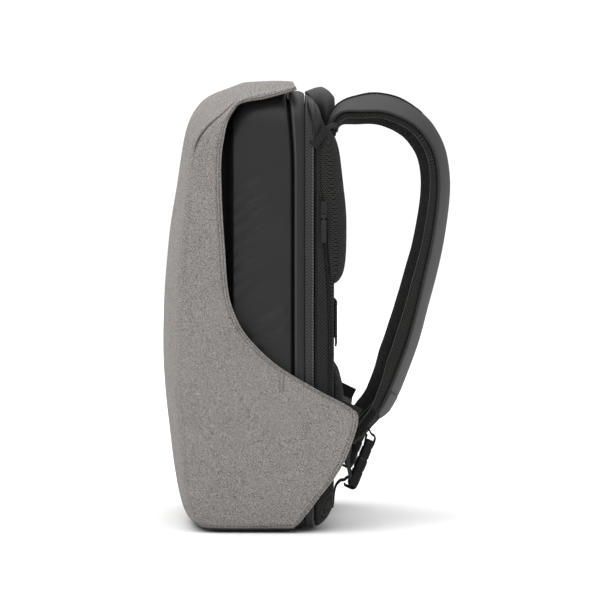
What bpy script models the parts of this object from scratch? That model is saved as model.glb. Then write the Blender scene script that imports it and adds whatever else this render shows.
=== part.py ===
import math

import bmesh
import bpy
from mathutils import Vector

# Driving sizes in metres. Y and Z in the tables are shares of HEIGHT, X is a share of HALF.
HEIGHT = 0.450
WIDTH = 0.300
HALF = WIDTH / 2
CLOTH = 0.0020
BAND = 0.0016
BOARD = 0.0026
GAP = 0.0005
STRAP_WIDTH = 0.060
STRAP_PAD = 0.0080
STRAP_COVER = 0.0022
STRAP_GAP = 0.0012
WEBBING = 0.0016
WEBBING_WIDTH = 0.020

GREY = (0.300, 0.280, 0.265, 1.0)
COATED = (0.040, 0.040, 0.042, 1.0)
WOVEN = (0.027, 0.027, 0.028, 1.0)
MESH = (0.018, 0.018, 0.019, 1.0)
PLASTIC = (0.012, 0.012, 0.013, 1.0)

# Grey shell from the back of the top, over the front, to the back of the base.
# centre y, z | flat share | fold x, y, z | edge x, y, z
SHELL = [
    (0.083, 0.997, 0.30, 0.76, 0.083, 0.990, 0.925, 0.083, 0.963),
    (0.040, 1.000, 0.30, 0.77, 0.045, 0.989, 0.930, 0.050, 0.956),
    (0.000, 1.000, 0.25, 0.78, 0.010, 0.984, 0.935, 0.014, 0.949),
    (-0.035, 0.999, 0.20, 0.80, -0.020, 0.973, 0.940, -0.021, 0.943),
    (-0.060, 0.991, 0.15, 0.82, -0.046, 0.950, 0.950, -0.044, 0.931),
    (-0.086, 0.982, 0.10, 0.86, -0.072, 0.926, 0.960, -0.061, 0.912),
    (-0.110, 0.973, 0.05, 0.90, -0.097, 0.907, 0.965, -0.069, 0.888),
    (-0.132, 0.959, 0.00, 0.93, -0.118, 0.888, 0.970, -0.074, 0.862),
    (-0.152, 0.932, 0.00, 0.95, -0.135, 0.865, 0.975, -0.078, 0.838),
    (-0.166, 0.897, 0.00, 0.96, -0.146, 0.838, 0.980, -0.080, 0.810),
    (-0.178, 0.840, 0.00, 0.97, -0.150, 0.790, 0.985, -0.080, 0.774),
    (-0.192, 0.745, 0.00, 0.98, -0.156, 0.715, 0.990, -0.077, 0.697),
    (-0.206, 0.660, 0.00, 0.98, -0.164, 0.640, 0.990, -0.072, 0.621),
    (-0.214, 0.575, 0.00, 0.98, -0.169, 0.565, 0.990, -0.066, 0.540),
    (-0.219, 0.495, 0.00, 0.98, -0.173, 0.495, 0.990, -0.054, 0.490),
    (-0.221, 0.430, 0.00, 0.98, -0.175, 0.430, 0.990, -0.025, 0.435),
    (-0.221, 0.370, 0.00, 0.98, -0.176, 0.370, 0.990, 0.040, 0.371),
    (-0.218, 0.310, 0.00, 0.98, -0.176, 0.315, 0.990, 0.129, 0.316),
    (-0.213, 0.260, 0.00, 0.98, -0.174, 0.270, 0.985, 0.205, 0.275),
    (-0.207, 0.210, 0.00, 0.98, -0.170, 0.225, 0.985, 0.219, 0.252),
    (-0.201, 0.160, 0.00, 0.98, -0.167, 0.180, 0.985, 0.210, 0.212),
    (-0.194, 0.115, 0.00, 0.97, -0.163, 0.135, 0.985, 0.192, 0.165),
    (-0.185, 0.070, 0.00, 0.97, -0.158, 0.090, 0.980, 0.166, 0.120),
    (-0.171, 0.030, 0.10, 0.96, -0.148, 0.050, 0.975, 0.137, 0.083),
    (-0.145, 0.006, 0.40, 0.95, -0.128, 0.024, 0.970, 0.117, 0.056),
    (-0.110, 0.000, 0.75, 0.94, -0.095, 0.010, 0.965, 0.104, 0.040),
    (-0.030, 0.000, 0.75, 0.94, -0.010, 0.007, 0.960, 0.096, 0.030),
    (0.074, 0.000, 0.75, 0.94, 0.074, 0.009, 0.957, 0.086, 0.020),
]
FRONT_STEPS = (0.0, 0.16, 0.32, 0.48, 0.62, 0.75, 0.85)
CROWN = 2.2
FOLD_ROUND = 0.016
WING_STEPS = (0.22, 0.42, 0.62, 0.82, 1.0)
WING_BULGE = 0.0022

# Rings of the compartment: y | half width | bottom z | top z | top radius | bottom radius
GUSSET = [
    (-0.105, 0.80, 0.0060, 0.905, 0.085, 0.050),
    (-0.078, 0.85, 0.0054, 0.940, 0.085, 0.055),
    (-0.045, 0.89, 0.0052, 0.962, 0.085, 0.060),
    (0.000, 0.915, 0.0052, 0.975, 0.085, 0.060),
    (0.040, 0.920, 0.0052, 0.977, 0.085, 0.060),
    (0.063, 0.918, 0.0052, 0.975, 0.085, 0.060),
    (0.068, 0.905, 0.012, 0.970, 0.082, 0.057),
    (0.070, 0.890, 0.020, 0.960, 0.078, 0.055),
    (0.089, 0.890, 0.020, 0.960, 0.078, 0.055),
]
BAND_FRONT = [
    (0.0785, 0.918, 0.012, 0.973, 0.080, 0.056),
    (0.0800, 0.932, 0.007, 0.980, 0.085, 0.060),
    (0.0870, 0.940, 0.005, 0.983, 0.085, 0.060),
    (0.0940, 0.940, 0.005, 0.983, 0.085, 0.060),
    (0.0995, 0.934, 0.007, 0.980, 0.085, 0.060),
    (0.1010, 0.920, 0.012, 0.974, 0.080, 0.056),
]
BAND_BACK = [
    (0.1022, 0.920, 0.012, 0.974, 0.080, 0.056),
    (0.1040, 0.934, 0.007, 0.980, 0.085, 0.060),
    (0.1090, 0.938, 0.006, 0.981, 0.085, 0.060),
    (0.1160, 0.938, 0.006, 0.979, 0.085, 0.060),
    (0.1200, 0.932, 0.008, 0.974, 0.085, 0.060),
    (0.1215, 0.918, 0.013, 0.968, 0.080, 0.056),
]
TUB = [
    (0.0898, 0.890, 0.020, 0.943, 0.078, 0.055),
    (0.1225, 0.890, 0.020, 0.943, 0.078, 0.055),
    (0.1235, 0.922, 0.010, 0.954, 0.085, 0.060),
    (0.1300, 0.930, 0.009, 0.937, 0.085, 0.060),
    (0.1380, 0.930, 0.014, 0.917, 0.080, 0.060),
    (0.1460, 0.928, 0.021, 0.897, 0.078, 0.060),
    (0.1550, 0.922, 0.033, 0.877, 0.074, 0.058),
    (0.1632, 0.906, 0.050, 0.856, 0.066, 0.052),
    (0.1660, 0.870, 0.072, 0.835, 0.052, 0.042),
    (0.1670, 0.800, 0.110, 0.800, 0.035, 0.030),
]
CORNER_STEPS = 5

# Pads on the back: z | base y | crest y | half width
UPPER_PAD = [
    (0.546, 0.1685, 0.1710, 0.76),
    (0.551, 0.1685, 0.1790, 0.81),
    (0.562, 0.1685, 0.1860, 0.84),
    (0.582, 0.1685, 0.1920, 0.86),
    (0.625, 0.1685, 0.1965, 0.87),
    (0.690, 0.1685, 0.1970, 0.87),
    (0.755, 0.1685, 0.1900, 0.87),
    (0.815, 0.1685, 0.1840, 0.86),
    (0.842, 0.1685, 0.1800, 0.84),
    (0.858, 0.1670, 0.1750, 0.80),
    (0.864, 0.1665, 0.1700, 0.75),
]
LUMBAR_PAD = [
    (0.118, 0.1685, 0.1705, 0.72),
    (0.123, 0.1685, 0.1770, 0.77),
    (0.136, 0.1685, 0.1840, 0.80),
    (0.160, 0.1685, 0.1885, 0.82),
    (0.225, 0.1685, 0.1930, 0.82),
    (0.295, 0.1685, 0.1905, 0.82),
    (0.330, 0.1685, 0.1840, 0.80),
    (0.344, 0.1685, 0.1770, 0.77),
    (0.350, 0.1685, 0.1705, 0.72),
]
# Luggage band: x | y
LUGGAGE = [
    (-0.84, 0.1705),
    (-0.70, 0.1712),
    (-0.40, 0.1735),
    (0.00, 0.1750),
    (0.40, 0.1735),
    (0.70, 0.1712),
    (0.84, 0.1705),
]
LUGGAGE_BOTTOM, LUGGAGE_TOP = 0.408, 0.500

# Woven side panel: z | back edge y
SIDE_PANEL = [
    (0.095, 0.1520),
    (0.180, 0.1530),
    (0.290, 0.1535),
    (0.400, 0.1535),
    (0.480, 0.1525),
    (0.533, 0.1505),
    (0.577, 0.1475),
    (0.621, 0.1440),
    (0.680, 0.1395),
    (0.715, 0.1370),
    (0.738, 0.1330),
    (0.745, 0.1290),
]
PANEL_FRONT = 0.1245
SHEET = 0.0012
ZIP_WIDTH = 0.0036
ZIP_LIFT = 0.0007
ZIP_THICK = 0.0013

# Pocket slider and pull
AXIS_Z = 0.694
SLIDER_LONG = 0.0150
SLIDER_WIDE = 0.0060
SLIDER_THICK = 0.0022
PIN_RADIUS = 0.0006
EYE_RADIUS = 0.0018
EYE_HOLE = 0.00095
PULL_LONG = 0.0260
PULL_WIDE = 0.0050
PULL_THICK = 0.0016

# Zip garage: z | front y | back y
GARAGE_LIFT = 0.0016
GARAGE = [
    (0.866, 0.1120, 0.1240),
    (0.872, 0.1095, 0.1320),
    (0.885, 0.1085, 0.1360),
    (0.900, 0.1080, 0.1370),
    (0.915, 0.1080, 0.1330),
    (0.930, 0.1085, 0.1270),
    (0.938, 0.1100, 0.1220),
]

# Handle, half of it: x | y | z | half depth | half thickness (shares of HEIGHT)
HANDLE = [
    (0.200, 0.1527, 0.894, 0.0045, 0.017),
    (0.202, 0.1530, 0.911, 0.0085, 0.015),
    (0.200, 0.1520, 0.931, 0.0150, 0.012),
    (0.180, 0.1500, 0.953, 0.0180, 0.010),
    (0.130, 0.1480, 0.969, 0.0190, 0.010),
    (0.065, 0.1470, 0.977, 0.0190, 0.010),
    (0.000, 0.1470, 0.979, 0.0190, 0.010),
]

# Shoulder strap centre line: x | y | z | tilt in degrees
STRAP = [
    (0.47, 0.1652, 0.885, 0),
    (0.47, 0.1685, 0.902, 2),
    (0.47, 0.1765, 0.917, 5),
    (0.47, 0.1890, 0.928, 9),
    (0.47, 0.2060, 0.934, 13),
    (0.47, 0.2280, 0.937, 16),
    (0.47, 0.2540, 0.940, 18),
    (0.47, 0.2800, 0.938, 18),
    (0.47, 0.3050, 0.931, 18),
    (0.47, 0.3300, 0.919, 17),
    (0.47, 0.3540, 0.902, 16),
    (0.48, 0.3750, 0.878, 15),
    (0.48, 0.3910, 0.850, 14),
    (0.49, 0.4010, 0.816, 13),
    (0.49, 0.4055, 0.775, 13),
    (0.50, 0.4040, 0.731, 13),
    (0.51, 0.3970, 0.675, 13),
    (0.52, 0.3870, 0.618, 13),
    (0.53, 0.3740, 0.562, 13),
    (0.54, 0.3600, 0.506, 12),
    (0.55, 0.3430, 0.455, 12),
    (0.56, 0.3260, 0.406, 11),
    (0.57, 0.3060, 0.355, 11),
    (0.59, 0.2870, 0.306, 10),
    (0.60, 0.2740, 0.266, 10),
    (0.61, 0.2590, 0.238, 9),
    (0.62, 0.2430, 0.214, 9),
    (0.63, 0.2290, 0.194, 8),
    (0.63, 0.2190, 0.180, 8),
]

# Buckle: a frame between two bars, seen from the side
BUCKLE_X = 0.70
BUCKLE_TOP = (0.2570, 0.189)
BUCKLE_FOOT = (0.2110, 0.103)
BUCKLE_WIDE = 0.030
BUCKLE_THICK = 0.0050
BUCKLE_SIDE = 0.0038
BAR = 0.0036
LOOP_RADIUS = 0.0043
# Webbing from the strap down to the buckle, and from the buckle to the base: y | z
UPPER_WEBBING = [(0.2815, 0.2250), (0.2740, 0.2100)]
LOWER_WEBBING = [(0.1645, 0.0470), (0.1675, 0.0620), (0.1710, 0.0780), (0.1810, 0.0910)]
TAIL = 0.016

# Side webbing: x | y | z
ANCHOR = [
    (0.946, 0.1170, 0.838),
    (0.944, 0.1270, 0.848),
    (0.942, 0.1380, 0.860),
    (0.932, 0.1500, 0.872),
    (0.905, 0.1620, 0.882),
    (0.840, 0.1710, 0.889),
    (0.770, 0.1740, 0.892),
    (0.710, 0.1750, 0.893),
]
WING_WEBBING = [
    (0.963, 0.2060, 0.244),
    (0.961, 0.2020, 0.220),
    (0.944, 0.1990, 0.190),
    (0.914, 0.1980, 0.160),
    (0.872, 0.1990, 0.130),
    (0.845, 0.2010, 0.104),
]
WING_TAB = [
    (0.967, 0.1720, 0.2930),
    (0.966, 0.1900, 0.2850),
    (0.964, 0.2080, 0.2770),
    (0.962, 0.2240, 0.2690),
]


def point(x, y, z):
    return Vector((x * HALF, y * HEIGHT, z * HEIGHT))


def material(name, colour, roughness):
    made = bpy.data.materials.new(name)
    made.use_nodes = True
    shader = made.node_tree.nodes["Principled BSDF"]
    shader.inputs["Base Color"].default_value = colour
    shader.inputs["Roughness"].default_value = roughness
    made.diffuse_color = colour
    return made


def place(name, mesh_data, look):
    made = bpy.data.meshes.new(name)
    mesh_data.to_mesh(made)
    mesh_data.free()
    made.materials.append(look)
    piece = bpy.data.objects.new(name, made)
    bag.objects.link(piece)
    return piece


def add_rings(mesh_data, rings, closed):
    rows = [[mesh_data.verts.new(p) for p in ring] for ring in rings]
    for upper, lower in zip(rows, rows[1:]):
        count = len(upper)
        for i in range(count if closed else count - 1):
            j = (i + 1) % count
            mesh_data.faces.new((upper[i], upper[j], lower[j], lower[i]))
    return rows


def loft(name, rings, look):
    """A closed body through closed rings, with flat ends."""
    mesh_data = bmesh.new()
    rows = add_rings(mesh_data, rings, True)
    mesh_data.faces.new(list(reversed(rows[0])))
    mesh_data.faces.new(rows[-1])
    if mesh_data.calc_volume(signed=True) < 0:
        bmesh.ops.reverse_faces(mesh_data, faces=mesh_data.faces)
    return place(name, mesh_data, look)


def wall(name, rings, closed, thickness, look, cap=False):
    """An open surface through the rings, made solid inwards."""
    mesh_data = bmesh.new()
    rows = add_rings(mesh_data, rings, closed)
    if cap:
        mesh_data.faces.new(rows[-1])
    bmesh.ops.reverse_faces(mesh_data, faces=mesh_data.faces)
    piece = place(name, mesh_data, look)
    solid = piece.modifiers.new("wall", "SOLIDIFY")
    solid.thickness = thickness
    solid.offset = -1.0
    solid.use_even_offset = True
    return piece


def bend(start, corner, end, share):
    return start.lerp(corner, share).lerp(corner.lerp(end, share), share)


def shell_row(row):
    """Half of a shell section, from the middle of the bag to the free edge."""
    cy, cz, flat, fx, fy, fz, ex, ey, ez = row
    centre, fold, edge = point(0, cy, cz), point(fx, fy, fz), point(ex, ey, ez)

    def front(share):
        curve = max(0.0, (share - flat) / (1 - flat)) ** CROWN
        return Vector((fold.x * share, centre.y + (fold.y - centre.y) * curve,
                       centre.z + (fold.z - centre.z) * curve))

    half = [front(share * 0.93) for share in FRONT_STEPS]
    start = front(0.93)
    reach = min(FOLD_ROUND, 0.45 * (edge - fold).length)
    end = fold + (edge - fold).normalized() * reach
    half += [bend(start, fold, end, share) for share in (0.0, 0.25, 0.5, 0.75, 1.0)]
    for share in WING_STEPS:
        across = end.lerp(edge, share)
        across.x += WING_BULGE * math.sin(math.pi * share)
        half.append(across)
    return half


def mirrored(half):
    return [Vector((-p.x, p.y, p.z)) for p in reversed(half[1:])] + half


def ring(row):
    """A closed rounded rectangle across the bag, anticlockwise seen from the back."""
    y, half, bottom, top, top_round, bottom_round = row
    x, low, high = half * HALF, bottom * HEIGHT, top * HEIGHT
    big, small = top_round * HEIGHT, bottom_round * HEIGHT
    corners = [
        (x - small, low + small, small, -90),
        (x - big, high - big, big, 0),
        (-x + big, high - big, big, 90),
        (-x + small, low + small, small, 180),
    ]
    points = []
    for cx, cz, radius, start in corners:
        for step in range(CORNER_STEPS + 1):
            angle = math.radians(start + 90 * step / CORNER_STEPS)
            points.append(Vector((cx + radius * math.cos(angle), y * HEIGHT,
                                  cz + radius * math.sin(angle))))
    return points


def between(table, y, column):
    """A column of a ring table at a given y."""
    for first, second in zip(table, table[1:]):
        if first[0] <= y <= second[0]:
            share = (y - first[0]) / (second[0] - first[0])
            return first[column] + (second[column] - first[column]) * share
    return table[-1][column]


def on_side(y, z, lift):
    """A point that stands off the side of the back tub or zip band, at shares y and z."""
    on_tub = y >= TUB[2][0]
    table, at = (TUB[2:], y) if on_tub else (BAND_BACK, BAND_BACK[3][0])
    half = between(table, at, 1) * HALF
    radius = between(table, at, 4) * HEIGHT
    start = between(table, at, 3) * HEIGHT - radius
    angle = math.asin(min(0.95, max(0.0, z * HEIGHT - start) / radius))
    x = half - radius + radius * math.cos(angle)
    return Vector((x + lift * math.cos(angle), y * HEIGHT, z * HEIGHT + lift * math.sin(angle)))


def cushion(name, rows, look):
    steps = 12
    rings = []
    for z, base, crest, half in rows:
        arc = []
        for step in range(steps + 1):
            angle = math.pi * step / steps
            across = math.copysign(abs(math.cos(angle)) ** 0.45, math.cos(angle))
            rise = math.sin(angle) ** 0.75
            arc.append(point(half * across, base + (crest - base) * rise, z))
        rings.append(arc)
    return loft(name, rings, look)


def tangents(path):
    last = len(path) - 1
    return [(path[min(i + 1, last)] - path[max(i - 1, 0)]).normalized()
            for i in range(last + 1)]


def flat_section(centre, wide, thick, width, depth):
    """A rounded flat section: wide and thick are unit directions."""
    a, b = width / 2, depth / 2
    c = min(b * 0.8, a * 0.4)
    corners = [(a, -b + c), (a, b - c), (a - c, b), (-a + c, b),
               (-a, b - c), (-a, -b + c), (-a + c, -b), (a - c, -b)]
    return [centre + wide * u + thick * v for u, v in corners]


def ribbon(name, path, wides, width, depth, look, lift=0.0, side=1):
    """A flat band along a path; wides gives the direction of its width at each point."""
    rings = []
    for place_at, along, wide in zip(path, tangents(path), wides):
        wide = (wide - along * wide.dot(along)).normalized()
        thick = along.cross(wide).normalized()
        section = flat_section(place_at + thick * lift, wide, thick, width, depth)
        rings.append(flipped(section, side))
    return loft(name, rings, look)


def flipped(path, side):
    return [Vector((p.x * side, p.y, p.z)) for p in path]


def box(mesh_data, low, high):
    corners = bmesh.ops.create_cube(mesh_data, size=1.0)["verts"]
    for corner in corners:
        corner.co = Vector([low[k] + (corner.co[k] + 0.5) * (high[k] - low[k]) for k in range(3)])


def rod(mesh_data, start, end, radius, segments=16):
    axis = end - start
    turn = axis.to_track_quat("Z", "Y").to_matrix().to_4x4()
    turn.translation = (start + end) / 2
    bmesh.ops.create_cone(mesh_data, cap_ends=True, segments=segments, radius1=radius,
                          radius2=radius, depth=axis.length, matrix=turn)


def union(piece, tool_builders, look, operation="UNION"):
    """Joins or cuts the piece with plain bodies, one Boolean each."""
    for index, build in enumerate(tool_builders):
        mesh_data = bmesh.new()
        build(mesh_data)
        made = bpy.data.meshes.new(f"{piece.name}_tool_{index}")
        mesh_data.to_mesh(made)
        mesh_data.free()
        tool = bpy.data.objects.new(made.name, made)
        tools.objects.link(tool)
        tool.location = piece.location
        tool.hide_render = True
        tool.display_type = "WIRE"
        joined = piece.modifiers.new(f"join {index}", "BOOLEAN")
        joined.operation = operation
        joined.solver = "EXACT"
        joined.object = tool


for old in list(bpy.data.objects):
    bpy.data.objects.remove(old, do_unlink=True)

bag = bpy.data.collections.new("anti_theft_backpack")
tools = bpy.data.collections.new("tools")
bpy.context.scene.collection.children.link(bag)
bpy.context.scene.collection.children.link(tools)

grey_cloth = material("grey_cloth", GREY, 0.92)
coated_cloth = material("coated_cloth", COATED, 0.45)
woven_cloth = material("woven_cloth", WOVEN, 0.80)
mesh_cloth = material("mesh_cloth", MESH, 0.90)
webbing_cloth = material("webbing_cloth", WOVEN, 0.75)
black_plastic = material("black_plastic", PLASTIC, 0.40)
black_metal = material("black_metal", PLASTIC, 0.35)

# Grey shell, gusset, zip bands and back
wall("front_shell", [mirrored(shell_row(row)) for row in SHELL], False, CLOTH, grey_cloth)
wall("side_gusset", [ring(row) for row in GUSSET], True, CLOTH, coated_cloth)
wall("zip_band_front", [ring(row) for row in BAND_FRONT], True, BAND, coated_cloth)
wall("zip_band_back", [ring(row) for row in BAND_BACK], True, BAND, woven_cloth)
wall("back_tub", [ring(row) for row in TUB], True, BOARD, mesh_cloth, cap=True)

# Back pads and the luggage band
cushion("upper_back_pad", UPPER_PAD, mesh_cloth)
cushion("lumbar_pad", LUMBAR_PAD, mesh_cloth)
middle = (LUGGAGE_BOTTOM + LUGGAGE_TOP) / 2
ribbon("luggage_strap", [point(x, y, middle) for x, y in LUGGAGE],
       [Vector((0, 0, 1))] * len(LUGGAGE), (LUGGAGE_TOP - LUGGAGE_BOTTOM) * HEIGHT,
       CLOTH, woven_cloth)

# Side panels, zip garages and the webbing at the sides
for side, word in ((1, "right"), (-1, "left")):
    rings = []
    for z, back in SIDE_PANEL:
        stops = [PANEL_FRONT + (back - PANEL_FRONT) * k / 4 for k in range(5)]
        inner = [on_side(y, z, GAP) for y in stops]
        outer = [on_side(y, z, GAP + SHEET) for y in reversed(stops)]
        rings.append(flipped(inner + outer, side))
    loft(f"side_panel_{word}", rings, woven_cloth)

    rings = []
    for z, front, back in GARAGE:
        stops = [front + (back - front) * k / 4 for k in range(5)]
        inner = [on_side(y, z, GARAGE_LIFT) for y in stops]
        outer = [on_side(y, z, GARAGE_LIFT + SHEET) for y in reversed(stops)]
        rings.append(flipped(inner + outer, side))
    loft(f"zip_garage_{word}", rings, coated_cloth)

    path = [point(x, y, z) for x, y, z in ANCHOR]
    wides = [Vector((0, -0.5, 0.87))] * 4 + [Vector((0, 0, 1))] * (len(path) - 4)
    ribbon(f"strap_anchor_{word}", path, wides, 0.010, WEBBING, webbing_cloth, side=side)

    path = [point(x, y, z) for x, y, z in WING_WEBBING]
    ribbon(f"wing_webbing_{word}", path, [Vector((0, 1, 0))] * len(path), 0.012, WEBBING,
           webbing_cloth, side=side)

    path = [point(x, y, z) for x, y, z in WING_TAB]
    ribbon(f"wing_tab_{word}", path, [Vector((0, 0.4, 0.9))] * len(path), 0.012, WEBBING,
           webbing_cloth, side=side)

# Pocket zip on the right side
rings = []
for z, back in SIDE_PANEL[:-2]:
    start = back + 0.0006 / HEIGHT
    stops = [start + ZIP_WIDTH / HEIGHT * k / 2 for k in range(3)]
    inner = [on_side(y, z, ZIP_LIFT) for y in stops]
    outer = [on_side(y, z, ZIP_LIFT + ZIP_THICK) for y in reversed(stops)]
    rings.append(inner + outer)
loft("pocket_zip", rings, black_plastic)

# Slider with its pin, and the pull on it
axis_y = (between(SIDE_PANEL, AXIS_Z, 1)) * HEIGHT + 0.0006 + ZIP_WIDTH / 2
axis_z = AXIS_Z * HEIGHT
base_x = on_side(axis_y / HEIGHT, AXIS_Z, ZIP_LIFT + ZIP_THICK + GAP).x
axis_x = base_x + 0.0034
mesh_data = bmesh.new()
box(mesh_data, (base_x, axis_y - SLIDER_WIDE / 2, axis_z + 0.0022),
    (base_x + SLIDER_THICK, axis_y + SLIDER_WIDE / 2, axis_z + SLIDER_LONG))
slider = place("pocket_slider", mesh_data, black_metal)
cheek = SLIDER_WIDE / 2 - 0.0018


def cheek_box(side):
    edge = axis_y + side * (SLIDER_WIDE / 2)
    inner_edge = edge - side * cheek
    low, high = min(edge, inner_edge), max(edge, inner_edge)
    return lambda mesh_data: box(mesh_data, (base_x + 0.0003, low, axis_z - 0.0014),
                                 (axis_x + 0.0014, high, axis_z + 0.0034))


def pin(mesh_data):
    reach = Vector((0, SLIDER_WIDE / 2 - 0.0004, 0))
    centre = Vector((axis_x, axis_y, axis_z))
    rod(mesh_data, centre - reach, centre + reach, PIN_RADIUS)


union(slider, [cheek_box(1), cheek_box(-1), pin], black_metal)

mesh_data = bmesh.new()
rod(mesh_data, Vector((0, -0.0015, 0)), Vector((0, 0.0015, 0)), EYE_RADIUS, 24)
pull = place("pocket_pull", mesh_data, black_metal)
pull.location = (axis_x, axis_y, axis_z)


def pull_neck(mesh_data):
    box(mesh_data, (-PULL_THICK / 2, -0.0014, -0.0042), (PULL_THICK / 2, 0.0014, -0.0010))


def pull_body(mesh_data):
    box(mesh_data, (-PULL_THICK / 2 - 0.0002, -PULL_WIDE / 2, -PULL_LONG),
        (PULL_THICK / 2 + 0.0002, PULL_WIDE / 2, -0.0036))


def pull_hole(mesh_data):
    rod(mesh_data, Vector((0, -0.003, 0)), Vector((0, 0.003, 0)), EYE_HOLE, 24)


union(pull, [pull_neck, pull_body], black_metal)
union(pull, [pull_hole], black_metal, "DIFFERENCE")
# Top handle
half = []
for x, y, z, deep, thick in HANDLE:
    half.append((point(x, y, z), deep * HEIGHT, thick * HEIGHT))
full = [(Vector((-p.x, p.y, p.z)), d, t) for p, d, t in half[:-1]] + half[::-1]
rings = []
for (centre, deep, thick), along in zip(full, tangents([p for p, d, t in full])):
    across = along.cross(Vector((0, 1, 0))).normalized()
    if abs(centre.x) > 0.15 * HALF and abs(centre.z - half[0][0].z) < 0.001:
        across = Vector((1, 0, 0))
    ring_points = []
    for step in range(12):
        angle = 2 * math.pi * step / 12
        ring_points.append(centre + Vector((0, 1, 0)) * deep * math.cos(angle)
                           + across * thick * math.sin(angle))
    rings.append(ring_points)
loft("top_handle", rings, coated_cloth)

# Shoulder straps, buckles and their webbing
for side, word in ((1, "right"), (-1, "left")):
    path = [point(x, y, z) for x, y, z, tilt in STRAP]
    wides = []
    for (x, y, z, tilt), along in zip(STRAP, tangents(path)):
        inward = along.cross(Vector((1, 0, 0))).normalized()
        angle = math.radians(tilt)
        wides.append(Vector((1, 0, 0)) * math.cos(angle) + inward * math.sin(angle))
    ribbon(f"strap_pad_{word}", path, wides, STRAP_WIDTH - 0.002, STRAP_PAD, mesh_cloth,
           (STRAP_COVER + STRAP_GAP) / 2, side)
    ribbon(f"strap_cover_{word}", path, wides, STRAP_WIDTH, STRAP_COVER, coated_cloth,
           -(STRAP_PAD + STRAP_GAP) / 2, side)

    top = point(BUCKLE_X, *BUCKLE_TOP)
    foot = point(BUCKLE_X, *BUCKLE_FOOT)
    down = (foot - top).normalized()
    wide = Vector((1, 0, 0))
    out = wide.cross(down)
    length = (foot - top).length
    rings = []
    for reach in (0.0, 0.02, 0.98, 1.0):
        shrink = 0.0012 if reach in (0.0, 1.0) else 0.0
        section = flat_section(top.lerp(foot, reach), wide, out, BUCKLE_WIDE - 2 * shrink,
                               BUCKLE_THICK - 2 * shrink)
        rings.append(flipped(section, side))
    buckle = loft(f"buckle_{word}", rings, black_plastic)

    def slot(first, second, side=side):
        def build(mesh_data):
            box(mesh_data, (-0.5, -0.5, -0.5), (0.5, 0.5, 0.5))
            inner = BUCKLE_WIDE - 2 * BUCKLE_SIDE
            middle = top + down * ((first + second) / 2)
            for corner in mesh_data.verts:
                u, v, w = corner.co
                at = middle + down * (w * (second - first)) - out * (v * 0.03)
                corner.co = Vector(((at.x + u * inner) * side, at.y, at.z))
            if side < 0:
                bmesh.ops.reverse_faces(mesh_data, faces=mesh_data.faces)
        return build

    # Slots, from the top down, beside the two bars that hold the webbing
    union(buckle, [slot(BAR, 0.0100), slot(0.0150, 0.0204),
                   slot(length - 0.0100, length - BAR)], black_plastic, "DIFFERENCE")

    def looped(lead_in, bar, turn):
        """A webbing path along lead_in, round a bar of the buckle and back along itself."""
        lead = (lead_in[-1] - bar).normalized()
        cross = wide.cross(lead) * turn
        points = list(lead_in)
        points.append(bar + lead * (LOOP_RADIUS * 1.5) + cross * LOOP_RADIUS)
        for step in range(7):
            angle = math.radians(30 * step)
            points.append(bar + cross * (LOOP_RADIUS * math.cos(angle))
                          - lead * (LOOP_RADIUS * math.sin(angle)))
        points.append(bar + lead * (LOOP_RADIUS * 1.5) - cross * LOOP_RADIUS)
        points.append(bar + lead * TAIL - cross * (LOOP_RADIUS * 0.9))
        return points

    for name, lead_in, bar, turn in (
            ("strap_webbing", UPPER_WEBBING, top + down * (BAR / 2), -1),
            ("lower_webbing", LOWER_WEBBING, foot - down * (BAR / 2), 1)):
        path = looped([point(BUCKLE_X, y, z) for y, z in lead_in], bar, turn)
        ribbon(f"{name}_{word}", path, [wide] * len(path), WEBBING_WIDTH, WEBBING,
               webbing_cloth, side=side)
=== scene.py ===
import math

import bmesh
import bpy
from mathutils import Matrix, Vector, noise
from mathutils.bvhtree import BVHTree


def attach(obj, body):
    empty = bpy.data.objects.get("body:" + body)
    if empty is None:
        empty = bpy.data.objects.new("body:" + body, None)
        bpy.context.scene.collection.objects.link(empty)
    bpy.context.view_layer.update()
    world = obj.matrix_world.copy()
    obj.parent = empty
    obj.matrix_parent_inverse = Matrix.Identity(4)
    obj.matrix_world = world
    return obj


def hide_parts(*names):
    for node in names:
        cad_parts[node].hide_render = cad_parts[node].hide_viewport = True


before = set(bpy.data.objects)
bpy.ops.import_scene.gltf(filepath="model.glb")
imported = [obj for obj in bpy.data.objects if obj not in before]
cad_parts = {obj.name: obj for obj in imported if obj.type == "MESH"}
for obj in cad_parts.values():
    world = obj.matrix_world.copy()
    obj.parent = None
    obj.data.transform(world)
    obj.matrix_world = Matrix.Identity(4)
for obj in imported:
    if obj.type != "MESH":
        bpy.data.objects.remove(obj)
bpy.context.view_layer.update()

# Sizes of the bag in metres. Y and Z in the tables are shares of tall, X is a share of half.
tall = 0.450
half = 0.150
sideWords = {1: "Right", -1: "Left"}

# Camera, at the photo's side view, a little above the middle of the bag
look = {"aim": (0.0, 0.0413, 0.2253), "distance": 2.733, "elevation": 2.0, "focal": 2634,
        "frame": 600, "sensor": 36.0}
camera = bpy.data.cameras.new("camera")
camera.sensor_width = look["sensor"]
camera.lens = look["sensor"] * look["focal"] / look["frame"]
cameraObject = bpy.data.objects.new("camera", camera)
bpy.context.collection.objects.link(cameraObject)
rise = math.radians(look["elevation"])
aim = Vector(look["aim"])
cameraObject.location = aim + Vector((math.cos(rise), 0, math.sin(rise))) * look["distance"]
cameraObject.rotation_euler = (aim - cameraObject.location).to_track_quat("-Z", "Y").to_euler()
bpy.context.scene.camera = cameraObject


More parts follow.
